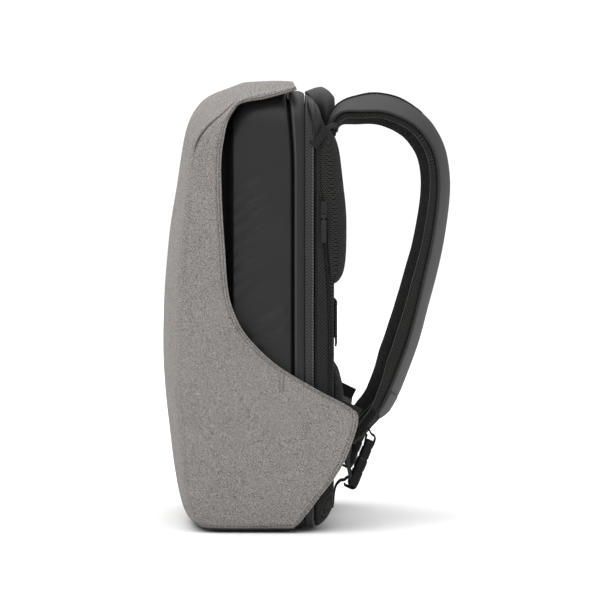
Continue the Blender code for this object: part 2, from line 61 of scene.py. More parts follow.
# A short way to add nodes to one tree
class Shader:
    def __init__(self, tree):
        self.tree = tree

    def add(self, kind, **settings):
        node = self.tree.nodes.new("ShaderNode" + kind)
        for key, value in settings.items():
            setattr(node, key, value)
        return node

    def wire(self, source, target):
        if isinstance(source, (int, float, tuple)):
            target.default_value = source
        else:
            self.tree.links.new(source, target)

    def math(self, operation, first, second=0.0):
        node = self.add("Math", operation=operation)
        self.wire(first, node.inputs[0])
        self.wire(second, node.inputs[1])
        return node.outputs[0]

    def plus(self, first, second):
        return self.math("ADD", first, second)

    def times(self, first, second):
        return self.math("MULTIPLY", first, second)

    def split(self, vector):
        node = self.add("SeparateXYZ")
        self.wire(vector, node.inputs[0])
        return node.outputs

    # The per-point mark: seams and darker edges, with painted shade and painted highlight
    def markedSeamShadeHighlight(self):
        return self.add("Attribute", attribute_name="seamShadeHighlight").outputs["Fac"]

    def mix(self, share, first, second, blend="MIX"):
        node = self.add("MixRGB", blend_type=blend)
        self.wire(share, node.inputs[0])
        self.wire(first, node.inputs[1])
        self.wire(second, node.inputs[2])
        return node.outputs[0]

    def noise(self, vector, scale, detail=2.0, rough=0.5):
        node = self.add("TexNoise")
        self.wire(vector, node.inputs["Vector"])
        node.inputs["Scale"].default_value = scale
        node.inputs["Detail"].default_value = detail
        node.inputs["Roughness"].default_value = rough
        return node.outputs["Fac"]

    def stretch(self, vector, scale):
        node = self.add("Mapping")
        self.wire(vector, node.inputs["Vector"])
        node.inputs["Scale"].default_value = scale
        return node.outputs["Vector"]

    def ramp(self, value, stops):
        node = self.add("ValToRGB")
        self.wire(value, node.inputs[0])
        ramp = node.color_ramp
        while len(ramp.elements) < len(stops):
            ramp.elements.new(0.5)
        for element, (at, shade) in zip(ramp.elements, stops):
            element.position = at
            element.color = (shade, shade, shade, 1.0) if isinstance(shade, float) else shade
        return node.outputs[0]


def newGroup(name, inputs, outputs):
    tree = bpy.data.node_groups.new(name, "ShaderNodeTree")
    for label, kind, value in inputs:
        socket = tree.interface.new_socket(label, in_out="INPUT", socket_type=kind)
        if value is not None:
            socket.default_value = value
    for label, kind in outputs:
        tree.interface.new_socket(label, in_out="OUTPUT", socket_type=kind)
    return Shader(tree), tree.nodes.new("NodeGroupInput"), tree.nodes.new("NodeGroupOutput")


# Heather weave: two tones of yarn and the slubs in them, upright and level yarns crossing
heather = {"warp": 2500, "weft": 2350, "cloud": 24, "hatch": 2600.0}
shader, given, result = newGroup(
    "heatherWeave",
    [("Place", "NodeSocketVector", None), ("Light", "NodeSocketColor", (0.5, 0.5, 0.5, 1)),
     ("Dark", "NodeSocketColor", (0.1, 0.1, 0.1, 1))],
    [("Color", "NodeSocketColor"), ("Height", "NodeSocketFloat")])
place = given.outputs["Place"]
warp = shader.noise(shader.stretch(place, (1.0, 1.0, 0.5)), heather["warp"], 1.0, 0.5)
weft = shader.noise(shader.stretch(place, (0.5, 0.5, 1.0)), heather["weft"], 1.0, 0.5)
cloud = shader.noise(place, heather["cloud"], 3.0, 0.6)
yarns = shader.plus(shader.times(warp, 0.5), shader.times(weft, 0.5))
parts = shader.split(place)
level = shader.math("SUBTRACT", parts[0], parts[1])
hatch = shader.times(shader.math("SINE", shader.times(level, heather["hatch"])),
                     shader.math("SINE", shader.times(parts[2], heather["hatch"])))
yarns = shader.plus(yarns, shader.times(hatch, 0.018))
tone = shader.ramp(yarns, [(0.44, 0.0), (0.56, 1.0)])
tone = shader.mix(0.05, tone, shader.ramp(cloud, [(0.35, 0.0), (0.65, 1.0)]))
shader.wire(shader.mix(tone, given.outputs["Dark"], given.outputs["Light"]), result.inputs["Color"])
shader.wire(yarns, result.inputs["Height"])

# Plain crossing threads, pitch in threads per metre
shader, given, result = newGroup(
    "threads",
    [("UV", "NodeSocketVector", None), ("Across", "NodeSocketFloat", 900.0),
     ("Along", "NodeSocketFloat", 900.0)],
    [("Height", "NodeSocketFloat")])
parts = shader.split(given.outputs["UV"])
first = shader.math("SINE", shader.times(parts[0], given.outputs["Across"]))
second = shader.math("SINE", shader.times(parts[1], given.outputs["Along"]))
woven = shader.times(first, second)
shader.wire(shader.plus(shader.times(woven, 0.5), 0.5), result.inputs["Height"])

# Diagonal ribs of a twill
shader, given, result = newGroup(
    "twill", [("UV", "NodeSocketVector", None), ("Pitch", "NodeSocketFloat", 2500.0)],
    [("Height", "NodeSocketFloat")])
parts = shader.split(given.outputs["UV"])
slant = shader.plus(parts[0], parts[1])
wave = shader.math("SINE", shader.times(slant, given.outputs["Pitch"]))
shader.wire(shader.plus(shader.times(wave, 0.5), 0.5), result.inputs["Height"])

# Spacer mesh: round holes in staggered rows, pitch in holes per metre
shader, given, result = newGroup(
    "spacerMesh",
    [("UV", "NodeSocketVector", None), ("Pitch", "NodeSocketFloat", 360.0)],
    [("Hole", "NodeSocketFloat"), ("Height", "NodeSocketFloat")])
parts = shader.split(given.outputs["UV"])
u = shader.times(parts[0], given.outputs["Pitch"])
v = shader.times(parts[1], shader.times(given.outputs["Pitch"], 1.1))
row = shader.math("FLOOR", v)
u = shader.plus(u, shader.times(shader.math("MODULO", row, 2.0), 0.5))
du = shader.math("SUBTRACT", shader.math("FRACT", u), 0.5)
dv = shader.math("SUBTRACT", shader.math("FRACT", v), 0.5)
away = shader.math("SQRT", shader.plus(shader.times(du, du), shader.times(dv, dv)))
hole = shader.ramp(away, [(0.20, 1.0), (0.42, 0.0)])
shader.wire(hole, result.inputs["Hole"])
shader.wire(shader.math("SUBTRACT", 1.0, hole), result.inputs["Height"])


def newMaterial(name, roughness, sheen=0.0, coat=0.0, specular=0.5):
    made = bpy.data.materials.new(name)
    made.use_nodes = True
    main = made.node_tree.nodes["Principled BSDF"]
    main.inputs["Roughness"].default_value = roughness
    main.inputs["Sheen Weight"].default_value = sheen
    main.inputs["Sheen Roughness"].default_value = 0.5
    main.inputs["Coat Weight"].default_value = coat
    main.inputs["Specular IOR Level"].default_value = specular
    tool = Shader(made.node_tree)
    return made, tool, main


def tint(colour, share):
    return tuple(c * share for c in colour[:3]) + (1,)


def uvOf(tool):
    return tool.add("UVMap", uv_map="cloth").outputs["UV"]


def useGroup(tool, name, **links):
    node = tool.add("Group")
    node.node_tree = bpy.data.node_groups[name]
    for key, value in links.items():
        tool.wire(value, node.inputs[key])
    return node


def bumpInto(tool, main, height, strength, distance):
    node = tool.add("Bump")
    node.inputs["Strength"].default_value = strength
    node.inputs["Distance"].default_value = distance
    tool.wire(height, node.inputs["Height"])
    tool.wire(node.outputs["Normal"], main.inputs["Normal"])


def heatherMaterial(name, light, dark):
    made, tool, main = newMaterial(name, 0.93, sheen=0.05, specular=0.20)
    weave = useGroup(tool, "heatherWeave", Place=tool.add("TexCoord").outputs["Object"],
                     Light=light, Dark=dark)
    threads = useGroup(tool, "threads", UV=uvOf(tool), Across=7800.0, Along=7800.0)
    # Seams darken the weave, and so do the painted shade along the fold and the painted contact
    # shadow along the base
    colour = tool.mix(tool.markedSeamShadeHighlight(), weave.outputs["Color"], shades["greySeamAndShade"])
    tool.wire(colour, main.inputs["Base Color"])
    height = tool.plus(weave.outputs["Height"], tool.times(threads.outputs["Height"], 0.5))
    bumpInto(tool, main, height, 0.35, 0.0005)
    return made


def coatedMaterial(name, colour, roughness=0.46, ribs=0.0, specular=0.5):
    made, tool, main = newMaterial(name, roughness, specular=specular)
    coords = tool.add("TexCoord").outputs["Object"]
    cloud = tool.noise(coords, 18, 4.0, 0.6)
    base = tool.mix(tool.ramp(cloud, [(0.3, 0.0), (0.7, 1.0)]), tint(colour, 0.90),
                    tint(colour, 1.08))
    # Painted highlight: the marked rows turn much lighter
    base = tool.mix(tool.markedSeamShadeHighlight(), base, tint(colour, 3.6))
    if ribs:
        threads = useGroup(tool, "twill", UV=tool.stretch(uvOf(tool), (1.0, 0.0, 1.0)), Pitch=ribs)
        # Painted shade in the rib hollows and painted highlight on the rib crests
        base = tool.mix(threads.outputs["Height"], tool.mix(0.65, base, shades["blackSeamAndRibShade"]),
                        tool.mix(1.0, base, (1.8, 1.8, 1.8, 1), "MULTIPLY"))
    tool.wire(base, main.inputs["Base Color"])
    grain = tool.noise(coords, 2600, 2.0, 0.6)
    tool.wire(tool.plus(tool.times(cloud, 0.10), roughness - 0.05), main.inputs["Roughness"])
    height = tool.plus(tool.times(grain, 0.10),
                       tool.times(tool.noise(coords, 120, 3.0, 0.5), 0.25))
    if ribs:
        height = tool.plus(height, tool.times(threads.outputs["Height"], 0.8))
    bumpInto(tool, main, height, 0.30, 0.0006)
    return made


# The weave is a pitch for a twill, or the threads across and along
def wovenMaterial(name, colour, weave, roughness=0.78, strength=0.5):
    made, tool, main = newMaterial(name, roughness, sheen=0.02, specular=0.15)
    threads = useGroup(tool, "twill" if "Pitch" in weave else "threads", UV=uvOf(tool), **weave)
    speck = tool.noise(uvOf(tool), 900, 2.0, 0.6)
    share = tool.times(threads.outputs["Height"], speck)
    base = tool.mix(share, tint(colour, 0.35), tint(colour, 3.4))
    tool.wire(tool.mix(tool.markedSeamShadeHighlight(), base, shades["blackSeamAndRibShade"]), main.inputs["Base Color"])
    bumpInto(tool, main, threads.outputs["Height"], strength, 0.0006)
    return made


# Upright mesh keeps its rows level over the whole piece, else they follow the piece's own UV
def meshMaterial(name, colour, pitch, upright=False):
    made, tool, main = newMaterial(name, 0.85, sheen=0.01, specular=0.08)
    place = uvOf(tool)
    if upright:
        parts = tool.split(tool.add("TexCoord").outputs["Object"])
        joined = tool.add("CombineXYZ")
        tool.wire(tool.plus(parts[0], parts[1]), joined.inputs[0])
        tool.wire(parts[2], joined.inputs[1])
        place = joined.outputs[0]
    holes = useGroup(tool, "spacerMesh", UV=place, Pitch=pitch)
    fuzz = tool.noise(place, 1200, 2.0, 0.6)
    thread = tool.mix(fuzz, tint(colour, 0.75), tint(colour, 1.30))
    thread = tool.mix(tool.markedSeamShadeHighlight(), thread, shades["meshInside"])
    # The mesh holes are painted near black as painted shade
    tool.wire(tool.mix(holes.outputs["Hole"], thread, shades["meshHoleShade"]),
              main.inputs["Base Color"])
    height = tool.plus(holes.outputs["Height"], tool.times(fuzz, 0.25))
    bumpInto(tool, main, height, 0.7, 0.0009)
    return made


def plasticMaterial(name, colour, roughness, metallic=0.0):
    made, tool, main = newMaterial(name, roughness, specular=0.14)
    coords = tool.add("TexCoord").outputs["Object"]
    grain = tool.noise(coords, 900, 3.0, 0.6)
    worn = tool.noise(coords, 60, 3.0, 0.6)
    tool.wire(tool.mix(tool.ramp(worn, [(0.4, 0.0), (0.75, 1.0)]), colour,
                       tint(colour, 1.8)), main.inputs["Base Color"])
    tool.wire(tool.plus(tool.times(grain, 0.18), roughness - 0.09),
              main.inputs["Roughness"])
    main.inputs["Metallic"].default_value = metallic
    bumpInto(tool, main, grain, 0.15, 0.0003)
    return made


shades = {
    "greyLight": (0.325, 0.304, 0.286, 1),
    "greyDark": (0.066, 0.060, 0.056, 1),
    "coated": (0.0125, 0.0125, 0.0129, 1),
    "ribbed": (0.0182, 0.0182, 0.0187, 1),
    "strap": (0.0210, 0.0210, 0.0214, 1),
    "handle": (0.0155, 0.0155, 0.0160, 1),
    "woven": (0.0120, 0.0120, 0.0122, 1),
    "mesh": (0.0270, 0.0270, 0.0255, 1),
    "webbing": (0.0110, 0.0110, 0.0112, 1),
    "plastic": (0.0045, 0.0045, 0.0048, 1),
    "metal": (0.020, 0.020, 0.021, 1),
    "thread": (0.050, 0.047, 0.044, 1),
    "pipingHighlight": (0.045, 0.045, 0.044, 1),
    # Dark marks: seams, and painted shade along the shell's fold and base, in rib hollows and in mesh
    # holes
    "greySeamAndShade": (0.022, 0.020, 0.019, 1),
    "blackSeamAndRibShade": (0.002, 0.002, 0.002, 1),
    "meshInside": (0.0035, 0.0035, 0.0030, 1),
    "meshHoleShade": (0.0015, 0.0015, 0.0015, 1),
    "paper": (0.82, 0.82, 0.82, 1),
}
greyCloth = heatherMaterial("greyCloth", shades["greyLight"], shades["greyDark"])
coatedCloth = coatedMaterial("coatedCloth", shades["coated"], specular=0.24)
ribbedCoated = coatedMaterial("ribbedCoated", shades["ribbed"], 0.55, 2050.0, 0.26)
strapCoated = coatedMaterial("strapCoated", shades["strap"], 0.60, specular=0.18)
handleCoated = coatedMaterial("handleCoated", shades["handle"], 0.50, specular=0.22)
wovenCloth = wovenMaterial("wovenCloth", shades["woven"], {"Pitch": 1900.0}, strength=0.8)
meshCloth = meshMaterial("meshCloth", shades["mesh"], 480.0)
backMesh = meshMaterial("backMesh", shades["mesh"], 490.0, True)
ribbedWebbing = wovenMaterial("ribbedWebbing", shades["webbing"],
                              {"Across": 2600.0, "Along": 5200.0}, 0.7, 0.8)
greyThread = wovenMaterial("greyThread", shades["thread"], {"Across": 4000.0, "Along": 9000.0})
# Lighter piping, painted as the highlight along the strap pads' edges
pipingHighlightCloth = wovenMaterial("pipingHighlightCloth", shades["pipingHighlight"], {"Across": 3000.0, "Along": 9000.0})
blackPlastic = plasticMaterial("blackPlastic", shades["plastic"], 0.42)
blackMetal = plasticMaterial("blackMetal", shades["metal"], 0.34, 0.5)
print("materials made")


def clamp(value):
    return max(0.0, min(1.0, value))


# A point from its shares of half and tall
def spot(x, y, z):
    return Vector((x * half, y * tall, z * tall))


# Catmull-Rom rows between the rows of a table
def smoothRows(rows, steps):
    made = []
    last = len(rows) - 1
    for i in range(last):
        a, b, c, d = rows[max(i - 1, 0)], rows[i], rows[i + 1], rows[min(i + 2, last)]
        for k in range(steps):
            t = k / steps
            made.append(tuple(
                0.5 * (2 * q + (r - p) * t + (2 * p - 5 * q + 4 * r - s) * t * t
                       + (3 * q - p - 3 * r + s) * t ** 3)
                for p, q, r, s in zip(a, b, c, d)))
    made.append(tuple(rows[-1]))
    return made


def smoothPath(points, steps):
    return [Vector(p) for p in smoothRows([tuple(p) for p in points], steps)]


# The same line with its points a step apart
def evenPath(points, step):
    lengths = [0.0]
    for a, b in zip(points, points[1:]):
        lengths.append(lengths[-1] + (b - a).length)
    count = max(2, round(lengths[-1] / step))
    made, at = [], 0
    for i in range(count + 1):
        want = lengths[-1] * i / count
        while at < len(points) - 2 and lengths[at + 1] < want:
            at += 1
        span = lengths[at + 1] - lengths[at] or 1.0
        made.append(points[at].lerp(points[at + 1], (want - lengths[at]) / span))
    return made


def tangentsOf(path):
    last = len(path) - 1
    return [(path[min(i + 1, last)] - path[max(i - 1, 0)]).normalized() for i in range(last + 1)]


# The object of a finished bmesh
def makePiece(name, tool):
    made = bpy.data.meshes.new(name)
    tool.to_mesh(made)
    tool.free()
    piece = bpy.data.objects.new(name, made)
    bpy.context.collection.objects.link(piece)
    return piece


# A quad grid with a UV in metres: u along a row, v from row to row
def gridMesh(name, grid, closed=False, caps=False, flip=False, seamShadeHighlight=None):
    tool = bmesh.new()
    layer = tool.loops.layers.uv.new("cloth")
    mark = tool.verts.layers.float.new("seamShadeHighlight")
    rows = [[tool.verts.new(p) for p in row] for row in grid]
    if seamShadeHighlight:
        for i, row in enumerate(rows):
            for j, vert in enumerate(row):
                vert[mark] = seamShadeHighlight(i, j)
    count = len(grid[0])
    middle = count // 2
    along = [0.0]
    for a, b in zip(grid, grid[1:]):
        along.append(along[-1] + (b[middle] - a[middle]).length)
    across = []
    for row in grid:
        marks = [0.0]
        for a, b in zip(row, row[1:] + row[:1]):
            marks.append(marks[-1] + (b - a).length)
        shift = marks[middle]
        across.append([m - shift for m in marks])
    for i in range(len(rows) - 1):
        for j in range(count if closed else count - 1):
            k = (j + 1) % count
            corners = [(i, j, j), (i, k, j + 1), (i + 1, k, j + 1), (i + 1, j, j)]
            if flip:
                corners.reverse()
            face = tool.faces.new([rows[a][b] for a, b, c in corners])
            face.smooth = True
            for loop, (a, b, c) in zip(face.loops, corners):
                loop[layer].uv = (across[a][c], along[a])
    if caps:
        for row, turn in ((rows[0], not flip), (rows[-1], flip)):
            face = tool.faces.new(list(reversed(row)) if turn else row)
            for loop in face.loops:
                loop[layer].uv = (loop.vert.co.x, loop.vert.co.z)
    return makePiece(name, tool)


# A closed sweep with end caps, its faces outwards
def bodyMesh(name, grid, seamShadeHighlight=None):
    piece = gridMesh(name, grid, closed=True, caps=True, seamShadeHighlight=seamShadeHighlight)
    tool = bmesh.new()
    tool.from_mesh(piece.data)
    if tool.calc_volume(signed=True) < 0:
        bmesh.ops.reverse_faces(tool, faces=tool.faces)
        tool.to_mesh(piece.data)
    tool.free()
    return piece


def thicken(piece, thickness):
    solid = piece.modifiers.new("thickness", "SOLIDIFY")
    solid.thickness = thickness
    solid.offset = -1.0
    solid.use_even_offset = False
    return piece


def finish(piece, material, nodes=(), body="bag"):
    piece.data.materials.clear()
    piece.data.materials.append(material)
    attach(piece, body)
    if nodes:
        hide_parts(*nodes)
    return piece


# A rounded rectangle in its own plane: (across, up)
def roundSection(width, depth, corner, steps=4, crown=0.0):
    a, b = width / 2, depth / 2
    c = min(corner, a * 0.98, b * 0.98)
    made = []
    for cx, cy, start in ((a - c, b - c, 0), (-a + c, b - c, 90),
                          (-a + c, -b + c, 180), (a - c, -b + c, 270)):
        for k in range(steps + 1):
            angle = math.radians(start + 90 * k / steps)
            x, y = cx + c * math.cos(angle), cy + c * math.sin(angle)
            made.append((x, y))
        if start == 0 and crown:
            for k in range(1, 8):
                x = (a - c) * (1 - 2 * k / 8)
                made.append((x, b + crown * (1 - (x / a) ** 2)))
    return made


# Rings of a section along a path
def sweepGrid(path, wides, section, lift=0.0, side=1):
    grid = []
    for at, along, wide in zip(path, tangentsOf(path), wides):
        wide = (wide - along * wide.dot(along)).normalized()
        up = wide.cross(along).normalized()
        ring = [at + up * lift + wide * u + up * v for u, v in section]
        grid.append([Vector((p.x * side, p.y, p.z)) for p in ring])
    return grid


# Separate stitches along a line, each a short rounded rod half sunk in the cloth
stitch = {"long": 0.0024, "gap": 0.0009, "radius": 0.00034, "sides": 5}


def stitchRun(name, path, normals):
    radius, sides = stitch["radius"], stitch["sides"]
    tool = bmesh.new()
    tool.loops.layers.uv.new("cloth")
    even = evenPath(path, (stitch["long"] + stitch["gap"]) / 4)
    for start in range(0, len(even) - 4, 4):
        a, b = even[start], even[start + 3]
        near = min(range(len(path)), key=lambda i: (path[i] - a).length_squared) \
            if len(path) < 60 else int(start / len(even) * (len(path) - 1))
        normal = normals[near]
        along = (b - a).normalized()
        side = along.cross(normal).normalized()
        rings = []
        for share, grow, sink in ((0.0, 0.5, 0.6), (0.25, 1.0, 0.1), (0.75, 1.0, 0.1),
                                  (1.0, 0.5, 0.6)):
            centre = a.lerp(b, share) + normal * (radius * (0.5 - sink))
            rings.append([tool.verts.new(
                centre + (side * math.cos(turn) + normal * math.sin(turn)) * radius * grow)
                for turn in (2 * math.pi * k / sides for k in range(sides))])
        for upper, lower in zip(rings, rings[1:]):
            for j in range(sides):
                k = (j + 1) % sides
                tool.faces.new((upper[j], upper[k], lower[k], lower[j])).smooth = True
        tool.faces.new(list(reversed(rings[0])))
        tool.faces.new(rings[-1])
    bmesh.ops.recalc_face_normals(tool, faces=tool.faces)
    return finish(makePiece(name, tool), greyThread)


# Grey shell: centre y, z | flat share | fold x, y, z | edge x, y, z
shellTable = [
    (0.065, 0.9985, 0.30, 0.76, 0.0765, 0.991, 0.925, 0.0845, 0.9725),
    (0.040, 1.000, 0.30, 0.77, 0.045, 0.989, 0.930, 0.050, 0.9615),
    (0.000, 1.000, 0.25, 0.78, 0.010, 0.984, 0.935, 0.014, 0.952),
    (-0.035, 0.999, 0.20, 0.80, -0.020, 0.973, 0.940, -0.021, 0.9465),
    (-0.060, 0.991, 0.15, 0.82, -0.046, 0.950, 0.950, -0.045, 0.9385),
    (-0.086, 0.982, 0.10, 0.86, -0.072, 0.926, 0.960, -0.060, 0.916),
    (-0.110, 0.973, 0.05, 0.90, -0.097, 0.907, 0.965, -0.069, 0.888),
    (-0.132, 0.959, 0.00, 0.93, -0.118, 0.888, 0.970, -0.074, 0.862),
    (-0.152, 0.932, 0.00, 0.95, -0.135, 0.865, 0.975, -0.078, 0.838),
    (-0.166, 0.897, 0.00, 0.96, -0.146, 0.838, 0.980, -0.080, 0.810),
    (-0.178, 0.840, 0.00, 0.97, -0.150, 0.790, 0.985, -0.080, 0.774),
    (-0.192, 0.745, 0.00, 0.98, -0.156, 0.715, 0.990, -0.077, 0.697),
    (-0.206, 0.660, 0.00, 0.98, -0.164, 0.640, 0.990, -0.072, 0.621),
    (-0.214, 0.575, 0.00, 0.98, -0.169, 0.565, 0.990, -0.066, 0.540),
    (-0.219, 0.495, 0.00, 0.98, -0.173, 0.495, 0.990, -0.054, 0.490),
    (-0.221, 0.430, 0.00, 0.98, -0.175, 0.430, 0.990, -0.025, 0.435),
    (-0.221, 0.370, 0.00, 0.98, -0.176, 0.370, 0.990, 0.040, 0.371),
    (-0.218, 0.310, 0.00, 0.98, -0.176, 0.315, 0.990, 0.129, 0.316),
    (-0.213, 0.260, 0.00, 0.98, -0.174, 0.270, 0.985, 0.205, 0.275),
    (-0.207, 0.210, 0.00, 0.98, -0.170, 0.225, 0.985, 0.219, 0.252),
    (-0.201, 0.160, 0.00, 0.98, -0.167, 0.180, 0.985, 0.210, 0.212),
    (-0.194, 0.115, 0.00, 0.97, -0.163, 0.135, 0.985, 0.192, 0.165),
    (-0.185, 0.070, 0.00, 0.97, -0.158, 0.090, 0.980, 0.166, 0.120),
    (-0.171, 0.030, 0.10, 0.96, -0.148, 0.050, 0.975, 0.137, 0.083),
    (-0.145, 0.006, 0.40, 0.95, -0.128, 0.024, 0.970, 0.117, 0.056),
    (-0.110, 0.000, 0.75, 0.94, -0.095, 0.010, 0.965, 0.104, 0.040),
    (-0.030, 0.000, 0.75, 0.94, -0.010, 0.007, 0.960, 0.096, 0.030),
    (0.074, 0.000, 0.75, 0.94, 0.074, 0.009, 0.957, 0.086, 0.020),
]
shell = {"steps": 7, "crown": 2.2, "foldRound": 0.016, "bulge": 0.0022, "cloth": 0.0020,
         "sag": 0.0011, "frontSteps": 26, "foldSteps": 20, "wingSteps": 22,
         "hemWide": 0.0075, "hemSteps": 10, "hemLift": 0.0008, "groove": 0.0006,
         "grooveAt": (0.00225, 0.0056), "darkAt": (0.00225, 0.0060), "baseShadowTop": 0.0055,
         "stitchAt": {"Outer": 0.00225, "Inner": 0.0054}}
# The slanting seam of the hood, in rows of the table, and the dart of the right wing
hoodSeam = {"from": 4.0, "to": 9.4, "groove": 0.0016, "ridge": 0.0006}
dart = {"y": 0.052, "bottom": 0.300, "top": 0.348, "groove": 0.0011}


def shellRow(row):
    cy, cz, flat, fx, fy, fz, ex, ey, ez = row
    centre, fold, edge = spot(0, cy, cz), spot(fx, fy, fz), spot(ex, ey, ez)

    def front(share):
        curve = clamp((share - flat) / (1 - flat)) ** shell["crown"]
        return Vector((fold.x * share, centre.y + (fold.y - centre.y) * curve,
                       centre.z + (fold.z - centre.z) * curve))

    count = shell["frontSteps"]
    made = [front(0.93 * k / count) for k in range(count)]
    start = front(0.93)
    reach = min(shell["foldRound"], 0.45 * (edge - fold).length)
    end = fold + (edge - fold).normalized() * reach
    for k in range(shell["foldSteps"] + 1):
        t = k / shell["foldSteps"]
        made.append(start.lerp(fold, t).lerp(fold.lerp(end, t), t))
    hem = min(1.0, shell["hemWide"] / (edge - end).length)
    marks = [(1 - hem) * k / shell["wingSteps"] for k in range(1, shell["wingSteps"] + 1)]
    marks += [1 - hem + hem * k / shell["hemSteps"] for k in range(1, shell["hemSteps"] + 1)]
    for t in marks:
        across = end.lerp(edge, t)
        across.x += shell["bulge"] * math.sin(math.pi * t)
        made.append(across)
    return made


# Low soft unevenness of hanging cloth
def clothSag(p):
    q = Vector((p.x * 9 + 3.1, p.y * 13, p.z * 8))
    return (noise.noise(q) + 0.5 * noise.noise(q * 2.3)) * shell["sag"]


shellRows = smoothRows(shellTable, shell["steps"])
shellGrid = []
for row in shellRows:
    right = shellRow(row)
    left = [Vector((-p.x, p.y, p.z)) for p in reversed(right[1:])]
    shellGrid.append(left + right)
columns = len(shellGrid[0])
middleColumn = columns // 2
foldColumn = middleColumn + shell["frontSteps"] + shell["foldSteps"] // 2


def gridNormals(grid):
    made = []
    for i in range(len(grid)):
        line = []
        for j in range(len(grid[0])):
            a = grid[min(i + 1, len(grid) - 1)][j] - grid[max(i - 1, 0)][j]
            b = grid[i][min(j + 1, len(grid[0]) - 1)] - grid[i][max(j - 1, 0)]
            line.append(a.cross(b).normalized())
        made.append(line)
    return made


shellNormals = gridNormals(shellGrid)
if shellNormals[len(shellGrid) // 2][middleColumn].y > 0:
    shellNormals = [[-n for n in line] for line in shellNormals]


def seamStrength(level):
    return clamp((level - hoodSeam["from"]) / 0.3) * clamp((hoodSeam["to"] - level) / 0.8)


# How far a column lies from the free edge
def hemPlace(j):
    return min(j, columns - 1 - j) * shell["hemWide"] / shell["hemSteps"]


# How dark the cloth is: at the hood's seam, the hem's stitches and the brim, with painted shade along
# the fold and a painted contact shadow along the base
def seamAndShadeShare(i, j):
    away = abs(abs(j - middleColumn) - (foldColumn - middleColumn))
    level = i / shell["steps"]
    # Painted shade along the fold between the front and the side
    foldShade = 0.0875 * clamp(level - 9.0) if level < 22 else 0.0
    share = (seamStrength(level) + foldShade) * {0: 1.0, 1: 0.45}.get(away, 0.0)
    place = hemPlace(j)
    share += sum(0.22 for line in shell["darkAt"] if abs(place - line) < 0.0002)
    if level < 5.5 and place < 0.0024:
        share += 0.28
    # Painted contact shadow: the lowest few millimetres of the shell turn dark
    return min(1.0, share + clamp((shell["baseShadowTop"] - shellGrid[i][j].z) / 0.0015))


for i, row in enumerate(shellGrid):
    level = i / shell["steps"]
    strength = seamStrength(level)
    for j, p in enumerate(row):
        lift = clothSag(p) * clamp((25.2 - level) / 2.0)
        away = abs(j - middleColumn) - (foldColumn - middleColumn)
        lift -= hoodSeam["groove"] * strength * math.exp(-(away / 1.1) ** 2)
        lift += hoodSeam["ridge"] * strength * math.exp(-((away + 2.6) / 1.6) ** 2)
        place = hemPlace(j)
        lift += shell["hemLift"] * clamp((0.0069 - place) / 0.0007)
        if p.x > 0 and dart["bottom"] * tall < p.z < dart["top"] * tall:
            lift -= dart["groove"] * math.exp(-((p.y / tall - dart["y"]) / 0.0035) ** 2)
        lift -= shell["groove"] * sum(math.exp(-((place - line) / 0.0005) ** 2)
                                      for line in shell["grooveAt"])
        row[j] = p + shellNormals[i][j] * lift
greyShell = gridMesh("greyShell", shellGrid, flip=True, seamShadeHighlight=seamAndShadeShare)
thicken(greyShell, shell["cloth"])
finish(greyShell, greyCloth, ("front_shell",))
shellTree = BVHTree.FromPolygons(
    [p for row in shellGrid for p in row],
    [(i * columns + j, i * columns + j + 1, (i + 1) * columns + j + 1, (i + 1) * columns + j)
     for i in range(len(shellGrid) - 1) for j in range(columns - 1)])
print("grey shell made")


# The point of a row that lies at a reach from the free edge
def nearEdge(row, reach, side):
    line = row[middleColumn:] if side > 0 else list(reversed(row[:middleColumn + 1]))
    line = list(reversed(line))
    gone = 0.0
    for a, b in zip(line, line[1:]):
        step = (b - a).length
        if gone + step >= reach:
            return a.lerp(b, (reach - gone) / step)
        gone += step
    return line[-1]


# A row of stitches on the right side of the shell, through the given shares of y and z
def sideStitches(name, marks):
    path, normals = [], []
    for y, z in marks:
        at, normal, *rest = shellTree.ray_cast(Vector((0.4, y * tall, z * tall)), Vector((-1, 0, 0)))
        path.append(at)
        normals.append(normal if normal.x > 0 else -normal)
    stitchRun(name, path, normals)


for side, word in sideWords.items():
    for order, reach in shell["stitchAt"].items():
        path = [nearEdge(row, reach, side) for row in shellGrid]
        normals = [shellTree.find_nearest(at)[1] for at in path]
        normals = [-n if n.x * side < 0 else n for n in normals]
        stitchRun(f"hemStitch{order}{word}", path, normals)
for index, y in enumerate((0.0478, 0.0562)):
    sideStitches(f"dartStitch{index}", [(y, 0.346 - 0.042 * k / 23) for k in range(24)])
sideStitches("baseStitch", [(-0.140 + 0.215 * k / 57, 0.0185 - 0.004 * math.sin(math.pi * k / 57))
                            for k in range(58)])
print("stitches made")


# Rings of the compartment: y | half width | bottom z | top z | top radius | bottom radius
def bodyRing(row, corner=14, sides=44, tops=26):
    y, share, bottom, top, topRound, bottomRound = row
    x, low, high = share * half, bottom * tall, top * tall
    big, small = topRound * tall, bottomRound * tall
    corners = [(x - small, low + small, small, -90), (x - big, high - big, big, 0),
               (-x + big, high - big, big, 90), (-x + small, low + small, small, 180)]
    runs = [sides, tops, sides, tops]
    points = []
    for index, (cx, cz, radius, start) in enumerate(corners):
        for step in range(corner + 1):
            angle = math.radians(start + 90 * step / corner)
            points.append(Vector((cx + radius * math.cos(angle), y * tall,
                                  cz + radius * math.sin(angle))))
        nx, nz, nextRadius, nextStart = corners[(index + 1) % 4]
        turn = math.radians(nextStart)
        end = Vector((nx + nextRadius * math.cos(turn), y * tall, nz + nextRadius * math.sin(turn)))
        last = points[-1]
        for step in range(1, runs[index]):
            points.append(last.lerp(end, step / runs[index]))
    return points


def between(table, y, column):
    for first, second in zip(table, table[1:]):
        if first[0] <= y <= second[0]:
            share = (y - first[0]) / (second[0] - first[0])
            return first[column] + (second[column] - first[column]) * share
    return table[-1][column]


